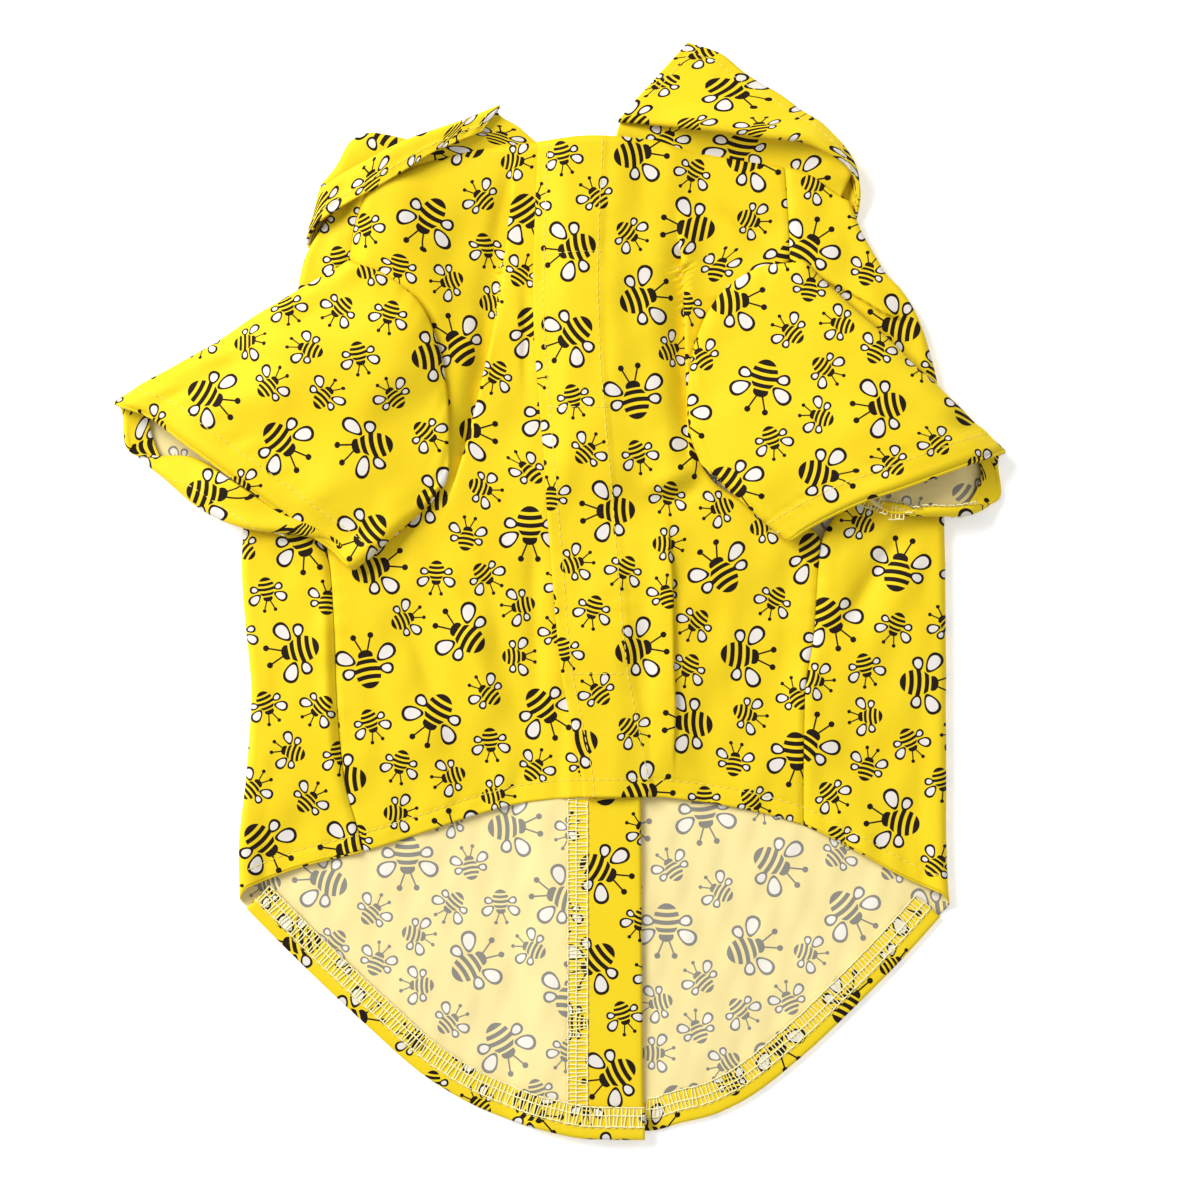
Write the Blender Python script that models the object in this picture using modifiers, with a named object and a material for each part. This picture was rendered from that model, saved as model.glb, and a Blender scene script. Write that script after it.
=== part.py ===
"""A short-sleeved dog shirt laid flat on a table, belly side up.

The two back panels lie on the table, overlap down the middle, and wrap round both sides onto the belly side.
Two belly panels close over each other at the placket, two short sleeves lie out over the belly with their cuffs
gaping, and the collar runs round the neck in two halves.  X runs to the wearer's side, +Y toward the neck, +Z up.
Tables are in millimetres; MM turns them into metres.
"""
import math
from collections import namedtuple

import bpy
import bmesh
import numpy as np

MM = 0.001

# Driving sizes, in millimetres
WALL = 1.0            # thickness of the cloth wall
PITCH = 1.4           # height of one layer of cloth lying on another
TOP = 4.7             # middle of the cloth of the belly side above the table
SEAM_GAP = 0.3        # half the space between two panels that meet at a seam
OVERLAP_EDGE = 5.0    # edge of the right back panel, under the left one
FACING_EDGE = 1.3     # free edge of the strip turned in down the left back panel
FACING_CLEAR = 0.9    # space kept between the strip and the fold it belongs to
RAMP = 12.0           # length over which a panel rises onto what it lies on
LIFT_AHEAD = 9.0      # a panel is fully raised this far before the edge that it lies over
UNDERLAP_EDGE = 12.0  # edge of the left belly panel, under the right one
PLACKET_NEAR = 1.5    # the right belly panel lies on the left one up to this far past its edge
PLACKET_FAR = 11.0    # and has come down to the left one's height this far past it
STACK_RISE = 2.3      # extra height of the belly side where the back's edges and the facing lie below it
FOLD_ENDS = 10.0      # length over which a large fold fades out beyond its ends
HEM_DEPTH = 9.0       # depth of the tail's turned hem
HEM_CLEAR = 0.2       # extra height of the tail's turned hem
COLLAR_ROLL = 0.8     # radius of the fold that the collar turns over
NECK_CLEAR = 0.9      # from the neckline to the middle of the collar's cloth
NECK_CLEAR_SIDE = 1.8 # extra of it at the side folds
SLEEVE_EDGE = 2.0     # radius of a sleeve's folded edges
SLEEVE_CLEAR = 0.7    # space between a sleeve and the body under it
SLEEVE_SWELL = 2.6    # how far a sleeve's upper layer stands up in the middle
ARMHOLE_EDGE = 0.4    # radius of a sleeve's folded edges at the armhole
UNDERARM = 7          # row of a sleeve's table that is its underarm edge
CUFF_TURN = 1.35      # space from the cuff to its turned hem, middle to middle
CUFF_DEPTH = 8.0      # depth of the cuff's turned hem
PIVOT_NECK = 60.0     # above this level the rows lean toward the neckline
PIVOT_HEM = -40.0     # below this level the rows lean toward the hem
CORNER_NECK = 108.0   # level of the neck's corner at the side folds
CORNER_HEM = -86.0    # level of the hem at the side folds

# Down the body: the outermost folds, the back panels' edges on the belly side (side seam, back of the armhole and
# shoulder seam) and the belly panels' outer edges (side seam, front of the armhole and shoulder seam).
Level = namedtuple("Level", "y fold_left wrap_left belly_left belly_right wrap_right fold_right")
LEVELS = (
    Level(118, -56.0, -50.0, -50.0, 61.8, 61.8, 73.0),
    Level(110, -60.5, -55.0, -55.0, 62.4, 62.4, 79.0),
    Level(100, -68.0, -58.5, -58.5, 63.0, 63.0, 83.0),
    Level(92, -72.2, -59.8, -59.8, 63.2, 63.2, 87.6),
    Level(88, -73.2, -62.0, -52.5, 53.6, 66.4, 90.0),
    Level(84, -73.9, -64.6, -45.5, 47.8, 70.0, 94.0),
    Level(76, -75.6, -68.0, -37.6, 40.0, 76.6, 100.6),
    Level(64, -78.8, -71.0, -34.2, 36.4, 84.0, 105.4),
    Level(50, -83.0, -74.0, -32.7, 35.4, 88.0, 106.8),
    Level(38, -86.0, -75.5, -32.6, 37.2, 88.0, 106.7),
    Level(30, -87.8, -75.0, -33.6, 42.0, 84.0, 106.5),
    Level(24, -88.6, -73.0, -39.0, 52.0, 78.6, 106.4),
    Level(19, -89.1, -70.4, -52.0, 66.0, 74.6, 106.3),
    Level(14, -89.4, -68.0, -66.0, 71.6, 72.2, 106.3),
    Level(6, -89.7, -65.2, -65.2, 71.2, 71.2, 106.4),
    Level(-12, -89.4, -64.0, -64.0, 70.0, 70.0, 106.6),
    Level(-30, -88.0, -63.4, -63.4, 67.4, 67.4, 106.7),
    Level(-53, -89.2, -61.2, -61.2, 67.1, 67.1, 106.7),
    Level(-74, -90.6, -55.6, -55.6, 67.2, 67.2, 106.9),
    Level(-90, -90.2, -53.0, -53.0, 67.4, 67.4, 108.0),
)

# Across the body: the neckline and the hem, on the belly side and on the back
Across = namedtuple("Across", "x neck_belly neck_back hem_belly hem_back")
ACROSS = (
    Across(-91, 108.0, 108.0, -84.0, -86.5),
    Across(-74, 108.0, 108.0, -77.4, -105.6),
    Across(-56, 111.4, 105.0, -72.8, -121.8),
    Across(-38, 119.0, 97.6, -67.0, -135.4),
    Across(-23, 122.8, 91.4, -62.0, -143.6),
    Across(-7, 124.8, 87.2, -58.4, -149.7),
    Across(8, 126.4, 84.8, -57.4, -152.2),
    Across(24, 125.4, 84.0, -57.4, -152.6),
    Across(34, 122.6, 85.0, -58.2, -148.6),
    Across(50, 119.6, 89.0, -60.8, -141.2),
    Across(66, 117.0, 98.0, -65.0, -129.8),
    Across(82, 108.0, 108.0, -72.8, -115.8),
    Across(95, 108.0, 108.0, -80.0, -102.6),
    Across(109, 108.0, 108.0, -86.0, -87.0),
)

# The placket's fold, and the fold down the centre edge of the left back panel
Centre = namedtuple("Centre", "y placket back_fold")
CENTRE = (
    Centre(127, -6.6, 20.0),
    Centre(81, -8.0, 20.0),
    Centre(39, -5.2, 20.4),
    Centre(8, -2.9, 20.8),
    Centre(-23, -0.1, 21.2),
    Centre(-40, 3.2, 21.3),
    Centre(-58, 6.0, 21.6),
    Centre(-90, 6.0, 22.2),
    Centre(-154, 6.0, 23.6),
)

# Large soft folds of the belly side: from one end to the other, how wide and how high (minus for a hollow)
Fold = namedtuple("Fold", "x1 y1 x2 y2 width height")
FOLDS = (
    Fold(-13, 96, -16, -20, 6.0, 2.2),
    Fold(-24, 100, -21, 34, 6.5, -1.2),
    Fold(-36, 104, -28, 76, 6.0, 1.3),
    Fold(31, 88, 33, 62, 5.5, 2.4),
    Fold(28, 24, 30, -50, 6.0, 2.6),
    Fold(19, 60, 21, -8, 6.0, -1.0),
    Fold(48, 112, 31, 92, 5.0, 1.6),
)

# Around the neck, from the belly closing to the centre back: x where the collar is sewn on, the fold it turns over
# and its free edge with their heights.  face is 1 on the belly side, 0 at the side fold and -1 on the back;
# stands is 1 where the leaf is turned up and only bulges over its seam, 0 where it is folded over.
Turn = namedtuple("Turn", "sewn_x fold_x fold_y fold_z free_x free_y free_z face stands")
COLLAR_LEFT = (
    Turn(-9.4, -17.8, 134.6, 6.8, -22.6, 127.6, 7.6, 1, 0),
    Turn(-16.9, -26.0, 131.9, 7.6, -29.6, 124.9, 8.2, 1, 0),
    Turn(-24.5, -33.8, 129.2, 8.2, -36.6, 122.2, 8.6, 1, 0),
    Turn(-33.0, -43.0, 125.8, 8.6, -44.0, 117.6, 8.8, 1, 0),
    Turn(-42.0, -52.0, 121.4, 8.4, -53.4, 112.2, 8.4, 1, 0),
    Turn(-50.0, -60.2, 117.2, 7.8, -62.6, 107.4, 7.8, 1, 0),
    Turn(-56.5, -67.0, 113.4, 6.8, -70.0, 102.0, 7.2, 0.85, 0),
    Turn(-61.6, -68.6, 113.0, 4.6, -74.0, 99.0, 4.4, 0.1, 0),
    Turn(-59.4, -67.0, 119.0, 1.6, -73.4, 93.6, 0.6, -0.8, 0),
    Turn(-53.6, -59.4, 126.4, 1.3, -61.0, 86.0, 0.5, -1, 0),
    Turn(-45.0, -47.0, 126.4, 1.3, -49.0, 79.0, 0.5, -1, 0),
    Turn(-33.0, -31.0, 119.0, 1.3, -37.0, 72.0, 0.5, -1, 0),
    Turn(-18.0, -15.0, 110.0, 1.3, -22.0, 66.0, 0.5, -1, 0),
    Turn(-4.0, -2.0, 103.0, 1.3, -9.0, 60.0, 0.5, -1, 0),
)
COLLAR_RIGHT = (
    Turn(14.5, 15.4, 130.6, 9.0, 34.6, 152.8, 3.4, 1, 1),
    Turn(21.0, 23.4, 129.6, 10.0, 43.4, 149.8, 3.6, 1, 1),
    Turn(31.0, 33.0, 128.8, 10.6, 50.6, 144.0, 4.2, 1, 1),
    Turn(44.0, 45.4, 127.6, 10.8, 60.6, 137.8, 5.0, 1, 1),
    Turn(54.0, 57.4, 126.2, 10.6, 67.4, 134.6, 5.8, 1, 1),
    Turn(63.0, 67.6, 125.0, 10.0, 75.0, 130.6, 6.4, 1, 0.8),
    Turn(71.0, 75.6, 120.4, 9.2, 83.0, 118.6, 7.4, 0.9, 0.4),
    Turn(77.4, 84.2, 117.6, 5.4, 87.0, 109.0, 5.0, 0.1, 0),
    Turn(76.0, 82.4, 121.6, 1.6, 88.6, 97.0, 0.6, -0.8, 0),
    Turn(69.0, 71.0, 121.0, 1.3, 76.0, 84.0, 0.5, -1, 0),
    Turn(58.0, 58.0, 117.0, 1.3, 64.0, 75.0, 0.5, -1, 0),
    Turn(44.0, 43.0, 110.0, 1.3, 49.0, 68.0, 0.5, -1, 0),
    Turn(31.0, 30.0, 104.0, 1.3, 37.0, 61.0, 0.5, -1, 0),
)

# Round a sleeve, from the top edge over the upper layer to the underarm edge and back under: the armhole, and the
# cuff's rim with its height
Around = namedtuple("Around", "ax ay cx cy cz")
SLEEVE_LEFT = (
    Around(-59.8, 92.4, -123.2, 53.0, 4.6),
    Around(-51.0, 87.6, -116.0, 48.4, 8.2),
    Around(-41.6, 80.6, -106.0, 41.2, 10.6),
    Around(-35.4, 68.0, -95.0, 33.2, 11.4),
    Around(-33.0, 54.0, -84.0, 25.2, 11.2),
    Around(-32.4, 41.0, -73.0, 17.0, 10.6),
    Around(-32.8, 32.0, -64.0, 10.6, 9.4),
    Around(-35.6, 25.4, -59.6, 8.0, 7.6),
    Around(-46.0, 21.4, -66.6, 9.8, 6.6),
    Around(-60.0, 18.4, -78.0, 13.6, 6.2),
    Around(-73.0, 25.0, -90.0, 17.6, 4.4),
    Around(-75.0, 42.0, -99.6, 22.6, 1.2),
    Around(-72.4, 60.0, -110.6, 30.4, 0.6),
    Around(-67.0, 80.0, -121.6, 39.6, 0.6),
)
SLEEVE_RIGHT = (
    Around(66.0, 92.0, 123.4, 38.6, 4.8),
    Around(54.6, 89.2, 115.0, 35.6, 12.0),
    Around(44.0, 81.6, 105.0, 32.0, 14.6),
    Around(38.6, 72.0, 94.6, 28.2, 14.8),
    Around(35.6, 58.0, 84.4, 24.8, 13.8),
    Around(35.6, 46.0, 75.0, 21.6, 12.0),
    Around(38.4, 36.4, 67.0, 17.8, 10.6),
    Around(43.2, 30.0, 62.4, 13.4, 7.6),
    Around(53.0, 24.6, 69.4, 13.0, 6.6),
    Around(68.0, 21.6, 80.0, 16.6, 6.3),
    Around(82.0, 27.0, 92.0, 19.6, 6.2),
    Around(88.0, 42.0, 104.0, 20.6, 5.4),
    Around(84.6, 60.0, 114.0, 21.8, 1.6),
    Around(74.0, 79.0, 121.4, 26.0, 0.8),
)

# The tail's turned hem, along x: start, end and how many steps
TAIL_LEFT = (21.0, -86.0, 16)
TAIL_RIGHT = (24.6, 102.6, 12)

# How far each row of the body stands down the panel, as levels at the side folds
ROWS_ABOVE = (108, 104, 99, 94, 89, 84, 78, 70, 60)
ROWS_MIDDLE = (50, 40, 30, 22, 14, 4, -10, -26, -40)
ROWS_BELOW = (-47, -54, -61, -67.5, -74, -80, -86)
ROWS_BELLY = (108, 102, 96, 90, 86, 82, 76, 68, 58, 48, 38, 30, 25, 20, 15, 8, -4, -18, -30, -40, -55, -70, -86)

# How far along each row its points stand, as shares of the way across a panel
ACROSS_BACK_LEFT = (0.0, 0.06, 0.13, 0.2, 0.3, 0.42, 0.56, 0.7, 0.82, 0.92, 1.0)
ACROSS_BACK_RIGHT = (0.0, 0.12, 0.26, 0.4, 0.55, 0.7, 0.82, 0.92, 1.0)
ACROSS_WRAP = (0.0, 0.5, 1.0)
ACROSS_BELLY_LEFT = (0.0, 0.14, 0.28, 0.42, 0.54, 0.64, 0.74, 0.84, 0.92, 1.0)
ACROSS_BELLY_RIGHT = (0.0, 0.08, 0.15, 0.22, 0.29, 0.36, 0.43, 0.5, 0.58, 0.68, 0.84, 1.0)
ACROSS_FACING = (0.0, 0.35, 0.7, 1.0)
ACROSS_TAIL_HEM = (0.06, 0.5, 1.0)
SIDE_FOLD_STEPS = 6   # steps round a side fold
SETTLE = 6            # times a point's place on its row is worked out again


def smooth(xs, ys, x):
    """Value at x of a curve through the points (xs, ys) that never overshoots them."""
    xs = np.asarray(xs, float)
    ys = np.asarray(ys, float)
    if xs[0] > xs[-1]:
        xs, ys = xs[::-1], ys[::-1]
    x = np.clip(x, xs[0], xs[-1])
    reach = np.diff(xs)
    slope = np.diff(ys) / reach
    tangent = np.zeros_like(ys)
    same = slope[:-1] * slope[1:] > 0
    mean = 2 * slope[:-1] * slope[1:] / np.where(same, slope[:-1] + slope[1:], 1.0)
    tangent[1:-1] = np.where(same, mean, 0.0)
    tangent[0], tangent[-1] = slope[0], slope[-1]
    i = np.clip(np.searchsorted(xs, x) - 1, 0, len(reach) - 1)
    t = (x - xs[i]) / reach[i]
    return (ys[i] * (1 + 2 * t) * (1 - t) ** 2 + tangent[i] * reach[i] * t * (1 - t) ** 2
            + ys[i + 1] * t * t * (3 - 2 * t) + tangent[i + 1] * reach[i] * t * t * (t - 1))


def column(rows, key, name, at):
    """The named column of a table, read at a value of its key column."""
    return float(smooth([getattr(r, key) for r in rows], [getattr(r, name) for r in rows], at))


def ramp(a, b, x):
    """0 below a, 1 above b, and a soft ramp between them (a may be the larger)."""
    t = min(max((x - a) / (b - a), 0.0), 1.0)
    return t * t * (3 - 2 * t)


def level(name, y):
    """x of a named line of the body at the level y."""
    return column(LEVELS, "y", name, y)


def across(name, x):
    """y of the neckline or hem at x."""
    return column(ACROSS, "x", name, x)


def lean(row, x, side):
    """y at x of the row that stands at the level `row` at the side fold; side is belly or back."""
    if row > PIVOT_NECK:
        reach = (across("neck_" + side, x) - PIVOT_NECK) / (CORNER_NECK - PIVOT_NECK)
        return PIVOT_NECK + (row - PIVOT_NECK) * reach
    if row < PIVOT_HEM:
        reach = (across("hem_" + side, x) - PIVOT_HEM) / (CORNER_HEM - PIVOT_HEM)
        return PIVOT_HEM + (row - PIVOT_HEM) * reach
    return row


def collar_edge(x):
    """y of the collar's free edge on the underside, where the back lies over the collar."""
    rows = COLLAR_LEFT[8:] + COLLAR_RIGHT[:8:-1]
    return float(np.interp(x, [r.free_x for r in rows], [r.free_y for r in rows]))


def over_collar(x, y):
    """1 where the back lies over the collar, 0 where it lies on the table."""
    edge = collar_edge(x)
    return ramp(edge - RAMP - LIFT_AHEAD, edge - LIFT_AHEAD, y)


def back_height(x, y, left):
    """Middle of the cloth of a back panel above the table."""
    layers = over_collar(x, y)
    if left:
        layers += ramp(OVERLAP_EDGE - LIFT_AHEAD - RAMP, OVERLAP_EDGE - LIFT_AHEAD, x)
    return WALL / 2 + PITCH * layers


def fold_height(x, y):
    """Height that the large folds add to the belly side."""
    total = 0.0
    for f in FOLDS:
        dx, dy = f.x2 - f.x1, f.y2 - f.y1
        length = math.hypot(dx, dy)
        along = ((x - f.x1) * dx + (y - f.y1) * dy) / length
        off = ((x - f.x1) * dy - (y - f.y1) * dx) / length
        ends = ramp(-FOLD_ENDS, 12.0, along) * ramp(length + FOLD_ENDS, length - 12.0, along)
        total += f.height * ends * math.exp(-(off / f.width) ** 2)
    return total


def belly_height(x, y):
    """Middle of the cloth of the belly side above the table, without the placket's second layer."""
    over_stack = ramp(20.0, 37.0, y) * ramp(-16.0, -6.0, x) * ramp(40.0, 28.0, x)
    clear_of_sides = ramp(-62.0, -54.0, x) * ramp(64.0, 56.0, x)
    return TOP + STACK_RISE * over_stack + max(fold_height(x, y), 0.0) * clear_of_sides


def outer_height(x, y, left):
    """Middle of the cloth of a belly panel above the table; the right one lies on the left one at the placket."""
    over_left = 0.0 if left else ramp(UNDERLAP_EDGE + PLACKET_FAR, UNDERLAP_EDGE + PLACKET_NEAR, x)
    return belly_height(x, y) + PITCH * over_left


def grid_object(name, points, around=False, even=True):
    """A named cloth piece: an open sheet through rows of points in mm, given its wall by Solidify."""
    mesh = bpy.data.meshes.new(name)
    bm = bmesh.new()
    rows = [[bm.verts.new([c * MM for c in p]) for p in row] for row in points]
    for low, high in zip(rows, rows[1:]):
        n = len(low)
        for i in range(n if around else n - 1):
            j = (i + 1) % n
            bm.faces.new((low[i], low[j], high[j], high[i]))
    bm.to_mesh(mesh)
    bm.free()
    obj = bpy.data.objects.new(name, mesh)
    wall = obj.modifiers.new("Cloth wall", "SOLIDIFY")
    wall.thickness = WALL * MM
    wall.offset = 0.0
    wall.use_even_offset = even
    return obj


def back_section(row, left):
    """One row of a back panel: from the centre along the table, round the side fold, to its edge on the belly."""
    sign = -1 if left else 1
    fold = level("fold_left" if left else "fold_right", row)
    centre = column(CENTRE, "y", "back_fold", row) if left else OVERLAP_EDGE
    turn_x = fold - sign * (TOP - back_height(fold, row, left)) / 2
    points = []
    for s in ACROSS_BACK_LEFT if left else ACROSS_BACK_RIGHT:
        x = centre + (turn_x - centre) * s
        y = lean(row, x, "back")
        points.append((x, y, back_height(x, y, left)))
    _, y_low, z_low = points[-1]
    y_high = lean(row, turn_x, "belly")
    radius = (TOP - z_low) / 2
    for k in range(1, SIDE_FOLD_STEPS):
        share = k / SIDE_FOLD_STEPS
        a = math.pi * share
        points.append((turn_x + sign * radius * math.sin(a), y_low + (y_high - y_low) * share,
                       z_low + radius * (1 - math.cos(a))))
    for s in ACROSS_WRAP:
        y = y_high
        for _ in range(SETTLE):
            edge = level("wrap_left" if left else "wrap_right", y) + sign * SEAM_GAP
            x = turn_x + (edge - turn_x) * s
            y = lean(row, x, "belly")
        points.append((x, y, belly_height(x, y)))
    return points


def back_panel(name, left):
    """Half of the back, wrapped round its side."""
    return grid_object(name, [back_section(row, left) for row in ROWS_ABOVE + ROWS_MIDDLE + ROWS_BELOW])


def belly_point(row, s, left):
    """Point of a belly panel on its row; s runs from 0 to 1, away from the seam on the left, away from the
    placket on the right."""
    y = row
    for _ in range(SETTLE):
        if left:
            start, end = level("belly_left", y) + SEAM_GAP, UNDERLAP_EDGE
        else:
            start, end = column(CENTRE, "y", "placket", y), level("belly_right", y) - SEAM_GAP
        x = start + (end - start) * s
        y += 0.5 * (lean(row, x, "belly") - y)
    y = lean(row, x, "belly")
    return x, y, outer_height(x, y, left)


def belly_panel(name, left):
    """A belly panel, from its outer edge to the closing; the right one lies over the left."""
    shares = ACROSS_BELLY_LEFT if left else ACROSS_BELLY_RIGHT
    return grid_object(name, [[belly_point(row, s, left) for s in shares] for row in ROWS_BELLY])


def below_sleeve(x, y):
    """Top of what a sleeve lies on: the body, and the table beyond its side fold."""
    left, right = level("fold_left", y), level("fold_right", y)
    inside = ramp(left - 16.0, left - 3.0, x) * ramp(right + 12.0, right + 3.0, x)
    return (TOP + WALL / 2 + max(0.0, fold_height(x, y))) * inside


def folded_edge(at, inward, base, radius):
    """The three points of a sleeve's folded edge, low to high, each with the way inward."""
    edge = []
    for way in (-1, 0, 1):
        plan = at + inward * radius * 0.7 * abs(way)
        point = np.array((plan[0], plan[1], base + radius * (1 + 0.9 * way)))
        pull = (*inward, 0.0) if way == 0 else (*(inward * 0.4), -0.9 * way)
        edge.append((point, np.array(pull)))
    return edge


def sleeve_ring(rows, t):
    """One ring of a sleeve at t (0 at the armhole, 1 at the rim): its points, and the way inward at each."""
    plan = [np.array((r.ax + (r.cx - r.ax) * t, r.ay + (r.cy - r.ay) * t)) for r in rows]
    breadth = (plan[UNDERARM] - plan[0]) / np.linalg.norm(plan[UNDERARM] - plan[0])
    radius = ARMHOLE_EDGE + (SLEEVE_EDGE - ARMHOLE_EDGE) * ramp(0.0, 0.25, t)
    cuff = ramp(0.35, 1.0, t)
    ring, last = [], None
    for i, (row, at) in enumerate(zip(rows, plan)):
        below = below_sleeve(*at)
        ground = below + WALL / 2 + SLEEVE_CLEAR * min(below, 1.0)
        if i in (0, UNDERARM):
            base = ground + (row.cz - radius - ground) * cuff
            low, tip, high = folded_edge(at, breadth if i == 0 else -breadth, max(base, ground), radius)
            if i == 0:
                ring += [tip, high]
                last = low
            else:
                ring += [high, tip, low]
        elif i < UNDERARM:
            swell = math.sin(math.pi * i / UNDERARM) * ramp(0.0, 0.2, t)
            body = ground + 2 * radius + SLEEVE_SWELL * swell
            high = body + (row.cz - body) * cuff
            ring.append((np.array((*at, high)), np.array((0.0, 0.0, -1.0))))
        else:
            low = ground + (row.cz - ground) * cuff
            ring.append((np.array((*at, max(low, ground))), np.array((0.0, 0.0, 1.0))))
    ring.append(last)
    return [p for p, _ in ring], [w for _, w in ring]


def sleeve(name, rows):
    """One sleeve: a flattened tube from the armhole to the cuff's rim, its hem turned back inside."""
    rings = [sleeve_ring(rows, t)[0] for t in (0.0, 0.1, 0.25, 0.42, 0.6, 0.8)]
    rim, inward = sleeve_ring(rows, 1.0)
    back, _ = sleeve_ring(rows, 0.5)
    for depth, draw in ((CUFF_TURN / 2, 0.0), (0.0, 0.5), (CUFF_TURN / 2, 1.0), (CUFF_DEPTH, 1.0)):
        ring = []
        for at, behind, way in zip(rim, back, inward):
            along = (behind - at) * min(depth / np.linalg.norm(behind - at), 1.0)
            ring.append(at + along + way * CUFF_TURN * draw)
        rings.append(ring)
    return grid_object(name, rings, around=True, even=False)


def neck_edge(x, face, left):
    """Point of the neckline at x; face runs from 1 on the belly side to -1 on the back."""
    part = (1 + face) / 2
    y = across("neck_back", x) + (across("neck_belly", x) - across("neck_back", x)) * part
    low = back_height(x, y, left)
    high = outer_height(x, y, left)
    y += NECK_CLEAR + NECK_CLEAR_SIDE * (1 - face * face)
    return np.array((x, y, low + (high - low) * part))


def collar_section(turn, left):
    """Nine points from the neck seam, up to the fold and on to the free edge."""
    sewn = neck_edge(turn.sewn_x, turn.face, left)
    fold = np.array((turn.fold_x, turn.fold_y, turn.fold_z))
    free = np.array((turn.free_x, turn.free_y, turn.free_z))
    turned = math.radians(90 * turn.face)
    out = np.array(((-1 if left else 1) * math.cos(turned), 0.0, math.sin(turned)))
    away = fold - free
    away -= out * float(np.dot(away, out))
    away /= np.linalg.norm(away)
    r = COLLAR_ROLL
    bend = [fold - away * r + r * (away * math.sin(a) - out * math.cos(a))
            for a in (0.0, math.pi / 4, math.pi / 2, 3 * math.pi / 4, math.pi)]
    rolled = [sewn, (sewn + bend[0]) / 2, *bend, (bend[-1] + free) / 2, free]
    up = np.array((0.0, 0.0, 1.0))
    near = sewn * 0.5 + fold * 0.5
    near[2] = sewn[2] + 0.6
    standing = [sewn, near, fold - away * 0.6 - up * 3.2, fold - away * 0.9 - up * 2.0, fold - up * 0.8,
                fold - away * 0.5, fold - away * 1.8 + up * 0.1, (fold + free) / 2 + up * 0.8, free]
    return [tuple(p * (1 - turn.stands) + q * turn.stands) for p, q in zip(rolled, standing)]


def collar(name, turns, left):
    """Half of the collar: up from the neck seam, over its fold and down to the free edge, all round the neck."""
    return grid_object(name, [collar_section(t, left) for t in turns], even=False)


def facing(name):
    """The strip turned in down the centre edge of the left back panel."""
    points = []
    for row in ROWS_ABOVE + ROWS_MIDDLE + ROWS_BELOW:
        fold = column(CENTRE, "y", "back_fold", row) - FACING_CLEAR
        line = []
        for s in ACROSS_FACING:
            x = fold + (FACING_EDGE - fold) * s
            y = lean(row, x, "back")
            line.append((x, y, back_height(fold, y, True) + PITCH))
        points.append(line)
    return grid_object(name, points)


def tail_hem(name, left):
    """The hem of half the tail, turned up onto the inside; the left one crosses over the facing."""
    start, end, steps = TAIL_LEFT if left else TAIL_RIGHT
    points = []
    for k in range(steps + 1):
        x = start + (end - start) * k / steps
        fall = (across("hem_back", x + 2.0) - across("hem_back", x - 2.0)) / 4.0
        if not left:
            fall *= ramp(25.0, 40.0, x)
        inward = np.array((-fall, 1.0)) / math.hypot(fall, 1.0)
        line = []
        for s in ACROSS_TAIL_HEM:
            px, py = np.array((x, across("hem_back", x))) + inward * HEM_DEPTH * s
            z = back_height(px, py, left) + PITCH + HEM_CLEAR
            if left:
                z += PITCH * ramp(FACING_EDGE - 18.0, FACING_EDGE - 8.0, px)
            line.append((px, py, z))
        points.append(line)
    return grid_object(name, points)


def cloth(name, colour):
    """Matt woven cotton."""
    material = bpy.data.materials.new(name)
    material.use_nodes = True
    shader = material.node_tree.nodes["Principled BSDF"]
    shader.inputs["Base Color"].default_value = (*colour, 1.0)
    shader.inputs["Roughness"].default_value = 0.75
    shader.inputs["Metallic"].default_value = 0.0
    material.diffuse_color = (*colour, 1.0)
    return material


def build():
    """Make every piece, colour it and stand the whole on its origin."""
    for old in list(bpy.data.objects):
        bpy.data.objects.remove(old, do_unlink=True)
    shirt = bpy.data.collections.new("Dog shirt")
    bpy.context.scene.collection.children.link(shirt)
    yellow = cloth("Yellow cotton", (0.95, 0.76, 0.02))
    pieces = [
        (back_panel("back_left", True), yellow),
        (back_panel("back_right", False), yellow),
        (facing("facing_left"), yellow),
        (tail_hem("tail_hem_left", True), yellow),
        (tail_hem("tail_hem_right", False), yellow),
        (belly_panel("belly_left", True), yellow),
        (belly_panel("belly_right", False), yellow),
        (sleeve("sleeve_left", SLEEVE_LEFT), yellow),
        (sleeve("sleeve_right", SLEEVE_RIGHT), yellow),
        (collar("collar_left", COLLAR_LEFT, True), yellow),
        (collar("collar_right", COLLAR_RIGHT, False), yellow),
    ]
    for obj, material in pieces:
        obj.data.materials.append(material)
        shirt.objects.link(obj)


build()
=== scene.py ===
"""Looks for the dog shirt that is laid flat with its belly side up: printed cotton, seams, hems and stitching.

Laid out as a Blender add-on and run as a script. Tables are in millimetres in the frame's own axes: X across
the body, +Y toward the neck, +Z up from the table. They keep within about 3 mm of those that the solids are
made from; the grid is finer, the cloth thinner, and the small folds are added.
"""
import functools
import math
from collections import namedtuple

import bpy
import numpy as np
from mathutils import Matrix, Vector


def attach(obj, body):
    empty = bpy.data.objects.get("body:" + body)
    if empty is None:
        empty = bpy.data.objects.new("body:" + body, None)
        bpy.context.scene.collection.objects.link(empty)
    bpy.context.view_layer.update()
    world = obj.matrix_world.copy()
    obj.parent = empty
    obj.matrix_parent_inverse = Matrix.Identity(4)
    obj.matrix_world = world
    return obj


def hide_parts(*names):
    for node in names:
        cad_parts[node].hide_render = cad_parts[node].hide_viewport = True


bl_info = {
    "name": "Printed dog shirt",
    "version": (1, 0, 0),
    "blender": (4, 5, 0),
    "location": "3D View > Sidebar > Shirt",
    "description": "Printed cotton, seams, hems and stitches of a short-sleeved dog shirt laid flat",
    "category": "Object",
}

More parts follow.
